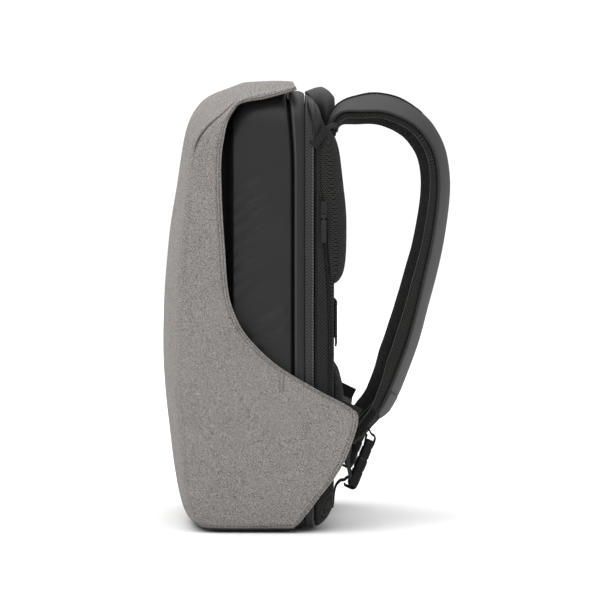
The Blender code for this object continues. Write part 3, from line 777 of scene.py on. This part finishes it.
# An open tube of cloth, thickened inwards
def closedWall(name, grid, thickness, cap=False, seamShadeHighlight=None):
    piece = gridMesh(name, grid, closed=True, seamShadeHighlight=seamShadeHighlight)
    tool = bmesh.new()
    tool.from_mesh(piece.data)
    tool.verts.ensure_lookup_table()
    if cap:
        count = len(grid[0])
        layer = tool.loops.layers.uv["cloth"]
        face = tool.faces.new(tool.verts[-count:])
        for loop in face.loops:
            loop[layer].uv = (loop.vert.co.x, loop.vert.co.z)
    sample = next(f for f in tool.faces if abs(f.calc_center_median().x) > 0.8 * half)
    if sample.normal.x * sample.calc_center_median().x < 0:
        bmesh.ops.reverse_faces(tool, faces=tool.faces)
    tool.to_mesh(piece.data)
    tool.free()
    return thicken(piece, thickness)


# Moves the points of the side walls outwards by amount(y, z)
def liftSides(grid, amount):
    for row in grid:
        for j, p in enumerate(row):
            if abs(p.x) > 0.70 * half:
                near = clamp((abs(p.x) - 0.70 * half) / (0.12 * half))
                p.x += math.copysign(amount(p.y, p.z) * near, p.x)


gussetTable = [
    (-0.105, 0.74, 0.0060, 0.880, 0.085, 0.050),
    (-0.088, 0.765, 0.0058, 0.895, 0.085, 0.052),
    (-0.073, 0.79, 0.0055, 0.908, 0.085, 0.055),
    (-0.0635, 0.840, 0.0054, 0.917, 0.085, 0.058),
    (-0.0580, 0.878, 0.0053, 0.925, 0.085, 0.060),
    (-0.0545, 0.902, 0.0052, 0.931, 0.085, 0.060),
    (-0.0480, 0.906, 0.0052, 0.941, 0.085, 0.060),
    (-0.035, 0.908, 0.0052, 0.957, 0.085, 0.060),
    (-0.015, 0.914, 0.0052, 0.969, 0.085, 0.060),
    (0.020, 0.920, 0.0052, 0.974, 0.085, 0.060),
    (0.055, 0.922, 0.0052, 0.972, 0.085, 0.060),
    (0.070, 0.920, 0.0052, 0.970, 0.085, 0.060),
    (0.0735, 0.912, 0.008, 0.966, 0.083, 0.058),
    (0.0748, 0.890, 0.020, 0.955, 0.078, 0.055),
    (0.089, 0.880, 0.022, 0.950, 0.078, 0.055),
]
# Soft folds of the gusset: middle y, middle z, half length, half width, height in mm
gussetFolds = [
    (-0.030, 0.545, 0.060, 0.012, 4.08), (-0.006, 0.548, 0.045, 0.020, -3.06),
    (-0.012, 0.690, 0.060, 0.012, 3.4), (-0.010, 0.655, 0.060, 0.012, -2.72),
    (-0.022, 0.750, 0.050, 0.014, 3.4), (-0.020, 0.715, 0.045, 0.010, -3.4),
    (0.020, 0.462, 0.060, 0.014, 3.74), (0.030, 0.430, 0.060, 0.014, -3.06),
    (-0.035, 0.610, 0.040, 0.012, 2.72), (-0.030, 0.580, 0.045, 0.010, -3.06),
]


def gussetFold(y, z):
    total = 0.0
    for fy, fz, long, wide, height in gussetFolds:
        dy, dz = y / tall - fy, z / tall - fz
        along = dy * 0.86 + dz * 0.51
        across = -dy * 0.51 + dz * 0.86
        total += height / 1000 * math.exp(-(along / long) ** 2 - (across / wide) ** 2)
    wave = noise.noise(Vector((y * 16, z * 9, 1.7))) * 0.0007
    return (total + wave) * clamp((0.068 * tall - y) / 0.006)


def bandWave(y, z):
    return noise.noise(Vector((y * 60, z * 16, 5.0))) * 0.0005


# The upper end of the compartment leans forward: most at the share first of y, none at last
def leanForward(grid, first, last):
    for row in grid:
        for p in row:
            share = clamp((last * tall - p.y) / ((last - first) * tall))
            high = clamp((p.z / tall - 0.78) / 0.17)
            p.y -= walls["lean"] * share * high * high


walls = {"gusset": 0.0016, "band": 0.0012, "tub": 0.0022, "lean": 0.0052, "highlightShare": 0.8}
grid = [bodyRing(row, sides=120) for row in smoothRows(gussetTable[:12], 6) + gussetTable[12:]]
leanForward(grid, 0.070, 0.050)
liftSides(grid, gussetFold)
finish(closedWall("gusset", grid, walls["gusset"]), coatedCloth, ("side_gusset",))

bandFrontTable = [
    (0.0785, 0.916, 0.012, 0.960, 0.080, 0.056), (0.0795, 0.930, 0.007, 0.968, 0.085, 0.060),
    (0.0825, 0.938, 0.005, 0.971, 0.085, 0.060), (0.0880, 0.940, 0.005, 0.972, 0.085, 0.060),
    (0.0940, 0.940, 0.005, 0.971, 0.085, 0.060), (0.0995, 0.934, 0.007, 0.967, 0.085, 0.060),
    (0.1012, 0.931, 0.009, 0.963, 0.080, 0.056),
]
bandBackTable = [
    (0.1020, 0.930, 0.010, 0.960, 0.080, 0.056), (0.1036, 0.934, 0.007, 0.964, 0.085, 0.060),
    (0.1060, 0.937, 0.006, 0.964, 0.085, 0.060), (0.1110, 0.937, 0.006, 0.960, 0.085, 0.060),
    (0.1170, 0.9375, 0.006, 0.956, 0.085, 0.060), (0.1200, 0.944, 0.006, 0.952, 0.085, 0.060),
    (0.1218, 0.942, 0.008, 0.949, 0.085, 0.060), (0.1232, 0.918, 0.013, 0.943, 0.080, 0.056),
]
for name, table, highlightRows, material, slotName, nodeName in (
        ("zipBandFront", bandFrontTable, range(7, 10), coatedCloth, "coated_cloth", "zip_band_front"),
        ("zipBandBack", bandBackTable, range(18, 23), ribbedCoated, "woven_cloth", "zip_band_back")):
    grid = [bodyRing(row, sides=70) for row in smoothRows(table, 4)]
    if table is bandFrontTable:
        leanForward(grid, 0.080, 0.099)
    liftSides(grid, bandWave)
    # Painted highlight along the listed rows of each band
    band = closedWall(name, grid, walls["band"],
                      seamShadeHighlight=lambda i, j: walls["highlightShare"] if i in highlightRows else 0.0)
    finish(band, material, (nodeName,))

tubTable = [
    (0.0898, 0.890, 0.020, 0.943, 0.078, 0.055), (0.1238, 0.890, 0.020, 0.943, 0.078, 0.055),
    (0.1246, 0.918, 0.010, 0.952, 0.085, 0.060), (0.1300, 0.930, 0.009, 0.937, 0.085, 0.060),
    (0.1380, 0.930, 0.014, 0.917, 0.080, 0.060), (0.1460, 0.928, 0.021, 0.897, 0.078, 0.060),
    (0.1550, 0.922, 0.033, 0.877, 0.074, 0.058), (0.1632, 0.906, 0.050, 0.856, 0.066, 0.052),
    (0.1660, 0.870, 0.072, 0.835, 0.052, 0.042), (0.1670, 0.800, 0.110, 0.800, 0.035, 0.030),
]
backMiddle = 0.455
grid = [bodyRing(row, corner=10) for row in tubTable[:2]]
grid += [bodyRing(row, corner=10) for row in smoothRows(tubTable[2:], 4)]
# The flat back is filled by rings that shrink towards its middle
flat = grid[-1]
middlePoint = Vector((0, flat[0].y, backMiddle * tall))
for share in (0.93, 0.82, 0.70, 0.56, 0.40, 0.22, 0.06):
    grid.append([middlePoint.lerp(p, share) for p in flat])
finish(closedWall("backTub", grid, walls["tub"], cap=True), backMesh, ("back_tub",))
print("compartment made")


# A point that stands off the side of the back, at shares y and z
def onSide(y, z, lift):
    onTub = y >= tubTable[2][0]
    table, at = (tubTable[2:], y) if onTub else (bandBackTable, bandBackTable[3][0])
    wide = between(table, at, 1) * half
    radius = between(table, at, 4) * tall
    start = between(table, at, 3) * tall - radius
    angle = math.asin(min(0.95, max(0.0, z * tall - start) / radius))  # round the top corner
    x = wide - radius + radius * math.cos(angle)
    return Vector((x + lift * math.cos(angle), y * tall, z * tall + lift * math.sin(angle)))


def flipGrid(grid, side):
    return [[Vector((p.x * side, p.y, p.z)) for p in row] for row in grid]


# A closed patch on the side: rows of z, front, back, with an optional soft rise and dent. Mark
# darkens its front and top edge.
def patchBody(name, rows, side, lift, thick, steps, puff=0.0, dent=None, mark=False):
    grid = []
    count = len(rows) - 1
    for i, (z, front, back) in enumerate(rows):
        inner, outer = [], []
        for k in range(steps + 1):
            s = k / steps
            y = front + (back - front) * s
            rise = puff * (math.sin(math.pi * s) ** 0.6) * (math.sin(math.pi * i / count) ** 0.5) \
                if 0 < i < count else 0.0
            if dent:
                rise -= dent(y, z)
            inner.append(onSide(y, z, lift))
            outer.append(onSide(y, z, lift + thick + rise))
        grid.append(inner + list(reversed(outer)))
    outermost = range(steps + 1, 2 * steps + 2)

    def borderShare(i, j):
        return float(mark and j in outermost and (j - steps - 1 < 1 or i > count - 2))

    return bodyMesh(name, flipGrid(grid, side), seamShadeHighlight=borderShare)


sidePanelTable = [
    (0.095, 0.1245, 0.1520), (0.180, 0.1245, 0.1530), (0.290, 0.1245, 0.1535),
    (0.400, 0.1245, 0.1535), (0.480, 0.1245, 0.1525), (0.533, 0.1245, 0.1505),
    (0.577, 0.1245, 0.1475), (0.621, 0.1245, 0.1440), (0.680, 0.1245, 0.1395),
    (0.715, 0.1245, 0.1370), (0.738, 0.1245, 0.1330), (0.745, 0.1245, 0.1290),
]
garageTable = [
    (0.8633, 0.1192, 0.1215), (0.8700, 0.1188, 0.1290), (0.8790, 0.1183, 0.1350),
    (0.8900, 0.1180, 0.1388), (0.9010, 0.1176, 0.1396), (0.9120, 0.1155, 0.1382),
    (0.9230, 0.1122, 0.1352), (0.9330, 0.1098, 0.1305), (0.9400, 0.1088, 0.1250),
    (0.9440, 0.1090, 0.1190),
]


def garageSlit(y, z):
    return 0.0024 * math.exp(-((y - 0.1186) / 0.0011) ** 2) * clamp((0.903 - z) / 0.006)


sidePanel = {"lift": 0.0005, "thick": 0.0012, "steps": 14, "puff": 0.0006, "mark": True}
zipGarage = {"lift": 0.0014, "thick": 0.0008, "steps": 26, "puff": 0.0021, "dent": garageSlit}
for side, word in sideWords.items():
    node = word.lower()
    panel = patchBody(f"sidePanel{word}", smoothRows(sidePanelTable, 8), side, **sidePanel)
    finish(panel, wovenCloth, (f"side_panel_{node}",))
    garage = patchBody(f"zipGarage{word}", smoothRows(garageTable, 7), side, **zipGarage)
    finish(garage, coatedCloth, (f"zip_garage_{node}",))

# Pocket zip: the tape along the back edge of the right panel, and two rows of teeth on it
pocketZip = {"gap": 0.0006, "wide": 0.0036, "pitch": 0.0013, "lift": 0.0013, "shift": 0.00045,
             "tooth": (0.0010, 0.0017, 0.0008)}
zipRows = [(z, back + pocketZip["gap"] / tall, back + (pocketZip["gap"] + pocketZip["wide"]) / tall)
           for z, front, back in smoothRows(sidePanelTable[:-2], 8)]
tape = patchBody("pocketZipTape", zipRows, 1, lift=0.0005, thick=0.0007, steps=6)
finish(tape, wovenCloth, ("pocket_zip",))
middles = [onSide((front + back) / 2, z, pocketZip["lift"]) for z, front, back in zipRows]
tool = bmesh.new()
for index, at in enumerate(evenPath(middles, pocketZip["pitch"])[:-1]):
    shift = Vector((0, -pocketZip["shift"] if index % 2 else pocketZip["shift"], 0))
    for vert in bmesh.ops.create_cube(tool, size=1.0)["verts"]:
        vert.co = at + vert.co * Vector(pocketZip["tooth"]) + shift
finish(makePiece("pocketZipTeeth", tool), blackPlastic)
print("side details made")

# Pads on the back: z | base y | crest y | half width
upperPadTable = [
    (0.546, 0.1640, 0.1685, 0.86), (0.549, 0.1620, 0.1760, 0.90), (0.556, 0.1600, 0.1830, 0.92),
    (0.572, 0.1580, 0.1905, 0.936), (0.600, 0.1555, 0.1950, 0.942), (0.640, 0.1525, 0.1968, 0.944),
    (0.690, 0.1495, 0.1968, 0.944), (0.725, 0.1450, 0.1945, 0.944), (0.760, 0.1390, 0.1905, 0.943),
    (0.800, 0.1370, 0.1860, 0.941), (0.835, 0.1370, 0.1815, 0.936), (0.856, 0.1385, 0.1765, 0.925),
    (0.870, 0.1410, 0.1715, 0.905), (0.880, 0.1450, 0.1660, 0.870), (0.886, 0.1500, 0.1600, 0.82),
]
lumbarPadTable = [
    (0.118, 0.1685, 0.1705, 0.72), (0.123, 0.1685, 0.1770, 0.77), (0.136, 0.1685, 0.1840, 0.80),
    (0.160, 0.1685, 0.1885, 0.82), (0.225, 0.1685, 0.1930, 0.82), (0.295, 0.1685, 0.1905, 0.82),
    (0.330, 0.1685, 0.1840, 0.80), (0.344, 0.1685, 0.1770, 0.77), (0.350, 0.1685, 0.1705, 0.72),
]


# A crowned pad with sewn channels running down it, at shares of half
cushion = {"steps": 72, "square": 0.45, "round": 0.75, "channelWide": 0.022, "channelDeep": 0.16}


def cushionBody(name, table, channels):
    steps = cushion["steps"]
    grid = []
    for z, base, crest, wide in smoothRows(table, 8):
        arc = []
        for step in range(steps + 1):
            angle = math.pi * step / steps
            x = wide * math.copysign(abs(math.cos(angle)) ** cushion["square"], math.cos(angle))
            groove = sum(math.exp(-((x - line) / cushion["channelWide"]) ** 2) for line in channels)
            rise = max(0.0, math.sin(angle)) ** cushion["round"]
            rise *= 1 - cushion["channelDeep"] * min(1.0, groove)
            arc.append(spot(x, base + (crest - base) * rise, z))
        grid.append(arc)
    return bodyMesh(name, grid)


for name, table, channels, nodeName in (
        ("upperPad", upperPadTable, (-0.30, 0.30), "upper_back_pad"),
        ("lumbarPad", lumbarPadTable, (-0.28, 0.28), "lumbar_pad")):
    pad = cushionBody(name, table, channels)
    finish(pad, backMesh, (nodeName,))

luggage = {"z": 0.454, "wide": 0.0414, "thick": 0.0020, "corner": 0.0009}
luggageTable = [(-0.84, 0.1705), (-0.70, 0.1712), (-0.40, 0.1735), (0.00, 0.1750),
                (0.40, 0.1735), (0.70, 0.1712), (0.84, 0.1705)]
path = [spot(x, y, luggage["z"]) for x, y in smoothRows(luggageTable, 6)]
section = roundSection(luggage["wide"], luggage["thick"], luggage["corner"])
sleeve = bodyMesh("luggageStrap", sweepGrid(path, [Vector((0, 0, 1))] * len(path), section))
finish(sleeve, wovenCloth, ("luggage_strap",))
print("back pads made")


# Webbing: width, thickness, and how much of its width it loses over the first part of its run
webbing = {"strapAnchor": (0.0100, 0.0018, 0.5), "wingWebbing": (0.0095, 0.0016, 0.0),
           "wingTab": (0.0120, 0.0016, 0.0), "strapWebbing": (0.0200, 0.0015, 0.0),
           "lowerWebbing": (0.0200, 0.0015, 0.0)}


def webbingBand(name, path, wides, side, nodeName):
    width, depth, taper = webbing[name]
    word, section = sideWords[side], roundSection(width, depth, depth * 0.45, 3)
    grid = sweepGrid(path, wides, section, side=side)
    for i, row in enumerate(grid):
        centre = sum(row, Vector()) / len(row)
        wide = wides[i].normalized()
        shrink = taper * min(1.0, 2.5 * i / len(grid))
        for j, p in enumerate(row):
            row[j] = p - wide * (p - centre).dot(wide) * shrink
    finish(bodyMesh(name + word, grid), ribbedWebbing, (nodeName + word.lower(),))


anchorTable = [(0.948, 0.1195, 0.848), (0.947, 0.1280, 0.857), (0.944, 0.1370, 0.868),
               (0.934, 0.1460, 0.879), (0.905, 0.1540, 0.888), (0.840, 0.1620, 0.893),
               (0.770, 0.1680, 0.895), (0.710, 0.1720, 0.895)]
wingWebbingTable = [(0.925, 0.2030, 0.235), (0.925, 0.2000, 0.205), (0.920, 0.1975, 0.179),
                    (0.905, 0.1965, 0.160), (0.872, 0.2000, 0.140), (0.845, 0.2030, 0.119)]
wingTabTable = [(0.967, 0.1720, 0.2850), (0.966, 0.1900, 0.2765), (0.964, 0.2080, 0.2680),
                (0.962, 0.2230, 0.2608)]
for side in sideWords:
    path = [spot(*row) for row in smoothRows(anchorTable, 5)]
    wides = [Vector((0, -0.5, 0.87)).lerp(Vector((0, 0, 1)), min(1.0, k / 20))
             for k in range(len(path))]
    webbingBand("strapAnchor", path, wides, side, "strap_anchor_")
    path = [spot(*row) for row in smoothRows(wingWebbingTable, 5)]
    turns = [max(0.0, k / (len(path) - 1) - 0.4) for k in range(len(path))]
    wides = [Vector((-0.60 - 2.4 * turn, 0.50, 0)).normalized() for turn in turns]
    webbingBand("wingWebbing", path, wides, side, "wing_webbing_")
    path = [spot(*row) for row in smoothRows(wingTabTable, 5)]
    webbingBand("wingTab", path, [Vector((0, 0.4, 0.9))] * len(path), side, "wing_tab_")

# Handle: half of it, x in mm | y | z | half width and half thickness in mm | slope of its width
handleTable = [
    (30.0, 0.1480, 0.886, 2.6, 5.0, 0.0), (31.0, 0.1500, 0.900, 4.6, 5.8, 0.0),
    (31.5, 0.1512, 0.918, 7.2, 6.0, 0.0), (30.5, 0.1510, 0.936, 9.0, 5.6, -0.05),
    (27.0, 0.1475, 0.951, 11.0, 5.8, -0.12), (20.0, 0.1420, 0.963, 13.4, 6.8, -0.20),
    (10.0, 0.1376, 0.9695, 14.6, 7.4, -0.24), (0.0, 0.1360, 0.9712, 14.8, 7.6, -0.25),
]
grip = {"around": 36, "pad": 1.6, "under": 4.4, "wrinkle": 0.06}
whole = [(-x, *rest) for x, *rest in handleTable[:-1]] + handleTable[::-1]
rows = smoothRows(whole, 8)
centres = [Vector((x / 1000, y * tall, z * tall)) for x, y, z, w, t, slope in rows]
grid = []
for (x, y, z, w, t, slope), centre, along in zip(rows, centres, tangentsOf(centres)):
    wide = Vector((0, 1, slope))
    wide = (wide - along * wide.dot(along)).normalized()
    out = wide.cross(along).normalized()
    if out.z < 0 or (abs(out.z) < 0.5 and out.x * centre.x < 0):
        out = -out
    ring = []
    for step in range(grip["around"]):
        angle = 2 * math.pi * step / grip["around"]
        c, v = math.cos(angle), math.sin(angle)
        u = math.copysign(abs(c) ** 0.85, c) * w
        if v > 0:
            rise = (t + grip["pad"]) * v ** 0.9 * (1 - 0.7 * max(0.0, -c) - 0.25 * max(0.0, c))
        else:
            rise = -min(t, grip["under"]) * abs(v) ** 0.6
        place = Vector((centre.x * 70, angle * 0.8, centre.z * 50))
        wrinkle = 1 + grip["wrinkle"] * noise.noise(place)
        ring.append(centre + (wide * u + out * rise) / 1000 * wrinkle)
    grid.append(ring)
handle = bodyMesh("topHandle", grid)
finish(handle, handleCoated, ("top_handle",))
print("handle and webbing made")

# Shoulder straps: x | y | z | tilt in degrees
strapTable = [
    (0.47, 0.1652, 0.885, 0), (0.47, 0.1685, 0.902, 2), (0.47, 0.1765, 0.917, 5),
    (0.47, 0.1890, 0.928, 9), (0.47, 0.2060, 0.934, 13), (0.47, 0.2280, 0.937, 16),
    (0.47, 0.2540, 0.940, 18), (0.47, 0.2800, 0.938, 18), (0.47, 0.3050, 0.931, 18),
    (0.47, 0.3300, 0.919, 17), (0.47, 0.3540, 0.902, 16), (0.48, 0.3750, 0.878, 15),
    (0.48, 0.3910, 0.850, 14), (0.49, 0.4010, 0.816, 13), (0.49, 0.4055, 0.775, 13),
    (0.50, 0.4040, 0.731, 13), (0.51, 0.3970, 0.675, 13), (0.52, 0.3870, 0.618, 13),
    (0.53, 0.3740, 0.562, 13), (0.54, 0.3600, 0.506, 12), (0.55, 0.3475, 0.457, 12),
    (0.56, 0.3335, 0.409, 12), (0.57, 0.3150, 0.359, 12), (0.59, 0.2945, 0.309, 12),
    (0.60, 0.2750, 0.272, 11), (0.61, 0.2600, 0.2500, 10), (0.62, 0.2450, 0.2325, 9),
    (0.63, 0.2270, 0.2110, 8), (0.63, 0.2060, 0.1920, 8),
]
strap = {"width": 0.060, "pad": 0.0080, "cover": 0.0022, "gap": 0.0006, "pipingHighlight": 0.0011,
         "flapFrom": 0.296, "flapTo": 0.252, "falling": 90, "bindingTo": 60}
# Thickness of the pad in mm by z
padThickness = [(0.18, 7.0), (0.20, 7.5), (0.22, 8.5), (0.26, 9.0), (0.315, 11.5), (0.355, 14.0),
                (0.42, 14.5), (0.51, 12.5), (0.60, 10.5), (0.73, 9.0), (0.85, 8.0), (0.94, 7.0)]
strapRows = smoothRows(strapTable, 6)
strapPath = [spot(x, y, z) for x, y, z, tilt in strapRows]
strapWides = []
for (x, y, z, tilt), along in zip(strapRows, tangentsOf(strapPath)):
    inward = along.cross(Vector((1, 0, 0))).normalized()
    angle = math.radians(tilt)
    strapWides.append(Vector((1, 0, 0)) * math.cos(angle) + inward * math.sin(angle))


# Small uneven swells pushed along the ring's own radius
def softGrid(grid, size, scale, seed):
    for row in grid:
        centre = sum(row, Vector()) / len(row)
        for j, p in enumerate(row):
            away = (p - centre).normalized()
            row[j] = p + away * noise.noise(p * scale + Vector((seed, 0, 0))) * size


# The first row of the strap's fall that lies below a share of z
def fallRow(z):
    return next(i for i, row in enumerate(strapRows) if i > strap["falling"] and row[2] < z)


flapStart, flapEnd = fallRow(strap["flapFrom"]), fallRow(strap["flapTo"])
for side, word in sideWords.items():
    node = word.lower()
    section = roundSection(strap["width"] - 0.002, strap["pad"], 0.0036, 6)
    grid = sweepGrid(strapPath, strapWides, section, -(strap["cover"] + strap["gap"]) / 2, side)
    for row, (x, y, z, tilt), at in zip(grid, strapRows, strapPath):
        want = between(padThickness, max(0.18, min(0.94, z)), 1) / 1000 - strap["pad"]
        centre = sum(row, Vector()) / len(row)
        cover = (Vector((at.x * side, at.y, at.z)) - centre).normalized()
        for j, p in enumerate(row):
            row[j] = p - cover * want * (0.5 - (p - centre).dot(cover) / strap["pad"])
    padCentres = [sum(row, Vector()) / len(row) for row in grid]
    softGrid(grid, 0.0005, 30, 2.0)
    lowered = [v < -strap["pad"] / 2 + 0.0012 for u, v in section]
    pad = bodyMesh(f"strapPad{word}", grid,
                   seamShadeHighlight=lambda i, j: 1.0 if lowered[j] else 0.7 if i >= flapEnd else 0.0)
    finish(pad, meshCloth, (f"strap_pad_{node}",))
    # Piping cords along the pad's lower edges: real piping, painted lighter as the highlight along
    # those edges
    for label, sign in (("Outer", 1), ("Inner", -1)):
        corner = min(range(len(section)), key=lambda j: (section[j][0] * sign < 0,
                     abs(section[j][1] + strap["pad"] / 2 - 0.0010)))
        line = [row[corner] for row in grid]
        ring = roundSection(strap["pipingHighlight"], strap["pipingHighlight"], 0.0005, 2)
        pipingHighlight = bodyMesh(f"strapPiping{label}{word}", sweepGrid(line, strapWides, ring))
        finish(pipingHighlight, pipingHighlightCloth)
    section = roundSection(strap["width"] - 0.0012, strap["cover"], 0.0010, 4, crown=0.0009)
    for label, first, last, more, nodes in (("Cover", 0, flapStart, 0.0, (f"strap_cover_{node}",)),
                                            ("Flap", flapStart - 1, flapEnd, 0.0005, ())):
        grid = sweepGrid(strapPath[first:last], strapWides[first:last], section,
                         (strap["pad"] + strap["gap"]) / 2 + more, side)
        softGrid(grid, 0.0003, 26, 4.0)
        if label == "Flap":
            for k, row in enumerate(grid[-6:]):
                at = sum(row, Vector()) / len(row)
                inward = (padCentres[flapEnd - 6 + k] - at).normalized()
                for j, p in enumerate(row):
                    row[j] = at + (p - at) * (1 - 0.05 * k) + inward * 0.0005 * k
        cover = bodyMesh(f"strap{label}{word}", grid)
        finish(cover, strapCoated, nodes)
    for edge, label in ((1, "Outer"), (-1, "Inner")):
        ring = roundSection(0.0022, 0.0026, 0.0010, 3)
        shifted = [(u + edge * (strap["width"] / 2 - 0.0008), v) for u, v in ring]
        lift = (strap["pad"] + strap["gap"]) / 2 + (0.0012 if edge < 0 else -0.0004)
        last = strap["bindingTo"] if edge < 0 else flapEnd
        grid = sweepGrid(strapPath[:last], strapWides[:last], shifted, lift, side)
        for k, row in enumerate(grid[-12:] if edge < 0 else ()):
            at = sum(row, Vector()) / len(row)
            inward = (padCentres[last - 12 + k] - at).normalized()
            grid[last - 12 + k] = [p + inward * 0.00022 * k for p in row]
        finish(bodyMesh(f"strapBinding{label}{word}", grid),
               ribbedWebbing if edge < 0 else strapCoated)
print("straps made")

# Buckles and their webbing
buckle = {"x": 0.70, "top": (0.2475, 0.1965), "foot": (0.2065, 0.0970), "loop": 0.0043,
          "bar": 0.0036, "tail": 0.0060, "edge": 0.0003}
upperWebbing = [(0.2440, 0.2240), (0.2500, 0.2120)]
lowerWebbing = [(0.1640, 0.0490), (0.1661, 0.0632), (0.1683, 0.0850), (0.1727, 0.0990),
                (0.1814, 0.1080), (0.1900, 0.1095)]
top, foot = spot(buckle["x"], *buckle["top"]), spot(buckle["x"], *buckle["foot"])
down = (foot - top).normalized()
across = Vector((1, 0, 0))


# A path that comes in, goes round a bar and ends in a short tail beside itself
def loopedPath(leadIn, bar):
    lead = (leadIn[-1] - bar).normalized()
    cross = lead.cross(across)
    radius = buckle["loop"]
    points = list(leadIn)
    points.append(bar + lead * (radius * 1.5) + cross * radius)
    for step in range(7):
        angle = math.radians(30 * step)
        points.append(bar + cross * (radius * math.cos(angle)) - lead * (radius * math.sin(angle)))
    points.append(bar + lead * (radius * 1.5) - cross * radius)
    points.append(bar + lead * buckle["tail"] - cross * (radius * 0.9))
    return points


for side in sideWords:
    for name, leadIn, bar, nodeName in (
            ("strapWebbing", upperWebbing, top + down * (buckle["bar"] / 2), "strap_webbing_"),
            ("lowerWebbing", lowerWebbing, foot - down * (buckle["bar"] / 2), "lower_webbing_")):
        path = smoothPath(loopedPath([spot(buckle["x"], y, z) for y, z in leadIn], bar), 5)
        webbingBand(name, path, [across] * len(path), side, nodeName)

# Buckle along its axis: share | half width | half thickness, both in mm
buckleTable = [
    (0.00, 8.0, 2.2), (0.015, 10.5, 3.6), (0.06, 11.5, 4.2), (0.13, 11.8, 4.3), (0.145, 11.6, 3.7),
    (0.165, 11.6, 3.7), (0.18, 11.8, 4.3), (0.36, 12.0, 4.4), (0.375, 12.6, 3.8), (0.395, 13.0, 3.8),
    (0.41, 13.6, 4.6), (0.50, 14.0, 4.8), (0.62, 14.0, 4.7), (0.635, 13.6, 4.1), (0.655, 13.6, 4.1),
    (0.67, 13.8, 4.7), (0.80, 13.8, 4.8), (0.90, 13.6, 4.8), (0.97, 12.5, 4.2), (0.99, 11.0, 3.2),
    (1.00, 9.0, 1.6),
]
for side, word in sideWords.items():
    axis = foot - top
    normal = across.cross(axis).normalized()
    grid = []
    for share, wide, thick in buckleTable:
        centre = top + axis * (share * 1.02 - 0.01)
        grid.append([Vector(((centre.x + u) * side, *(centre + normal * v).yz))
                     for u, v in roundSection(wide / 500, thick / 450, thick / 1600, 4)])
    piece = bodyMesh(f"buckle{word}", grid)
    edges = piece.modifiers.new("edges", "BEVEL")
    edges.width = buckle["edge"]
    edges.segments = 2
    edges.angle_limit = math.radians(35)
    finish(piece, blackPlastic, (f"buckle_{word.lower()}",))
for name in ("pocket_slider", "pocket_pull"):
    bpy.data.objects[name].material_slots[0].material = blackMetal
print("buckles made")

# Floor, world and lights
studio = {
    "floor": 6.0, "drop": 0.0002, "strength": 2.32,
    "height": [(0.0, 0.455), (0.10, 0.455), (0.22, 0.28), (0.5, 0.34), (0.9, 1.25)],
    "behind": [(0.15, 1.0), (0.85, 0.60)],
    "lamps": [("front", (1.3, -0.7, 2.9), (0.0, 0.0, 0.25), 2.0, 10),
              ("near", (2.3, 0.5, 1.9), (0.0, 0.05, 0.25), 1.8, 9)],
}
tool = bmesh.new()
bmesh.ops.create_grid(tool, x_segments=1, y_segments=1, size=studio["floor"])
floor = makePiece("floor", tool)
floor.location.z = -studio["drop"]
paper, tool, main = newMaterial("paper", 0.9, specular=0.1)
main.inputs["Base Color"].default_value = shades["paper"]
floor.data.materials.append(paper)

bpy.context.scene.view_settings.view_transform = "Standard"
world = bpy.data.worlds.new("studio")
bpy.context.scene.world = world
world.use_nodes = True
sky = Shader(world.node_tree)
parts = sky.split(sky.add("TexCoord").outputs["Generated"])
glow = sky.ramp(parts[2], studio["height"])
background = world.node_tree.nodes["Background"]
sky.wire(sky.mix(1.0, glow, sky.ramp(parts[1], studio["behind"]), "MULTIPLY"), background.inputs[0])
background.inputs[1].default_value = studio["strength"]
for name, at, target, size, power in studio["lamps"]:
    lamp = bpy.data.lights.new(name, "AREA")
    lamp.size = size
    lamp.energy = power
    lampObject = bpy.data.objects.new(name, lamp)
    lampObject.location = at
    lampObject.rotation_euler = (Vector(target) - Vector(at)).to_track_quat("-Z", "Y").to_euler()
    bpy.context.collection.objects.link(lampObject)

print("scene made")
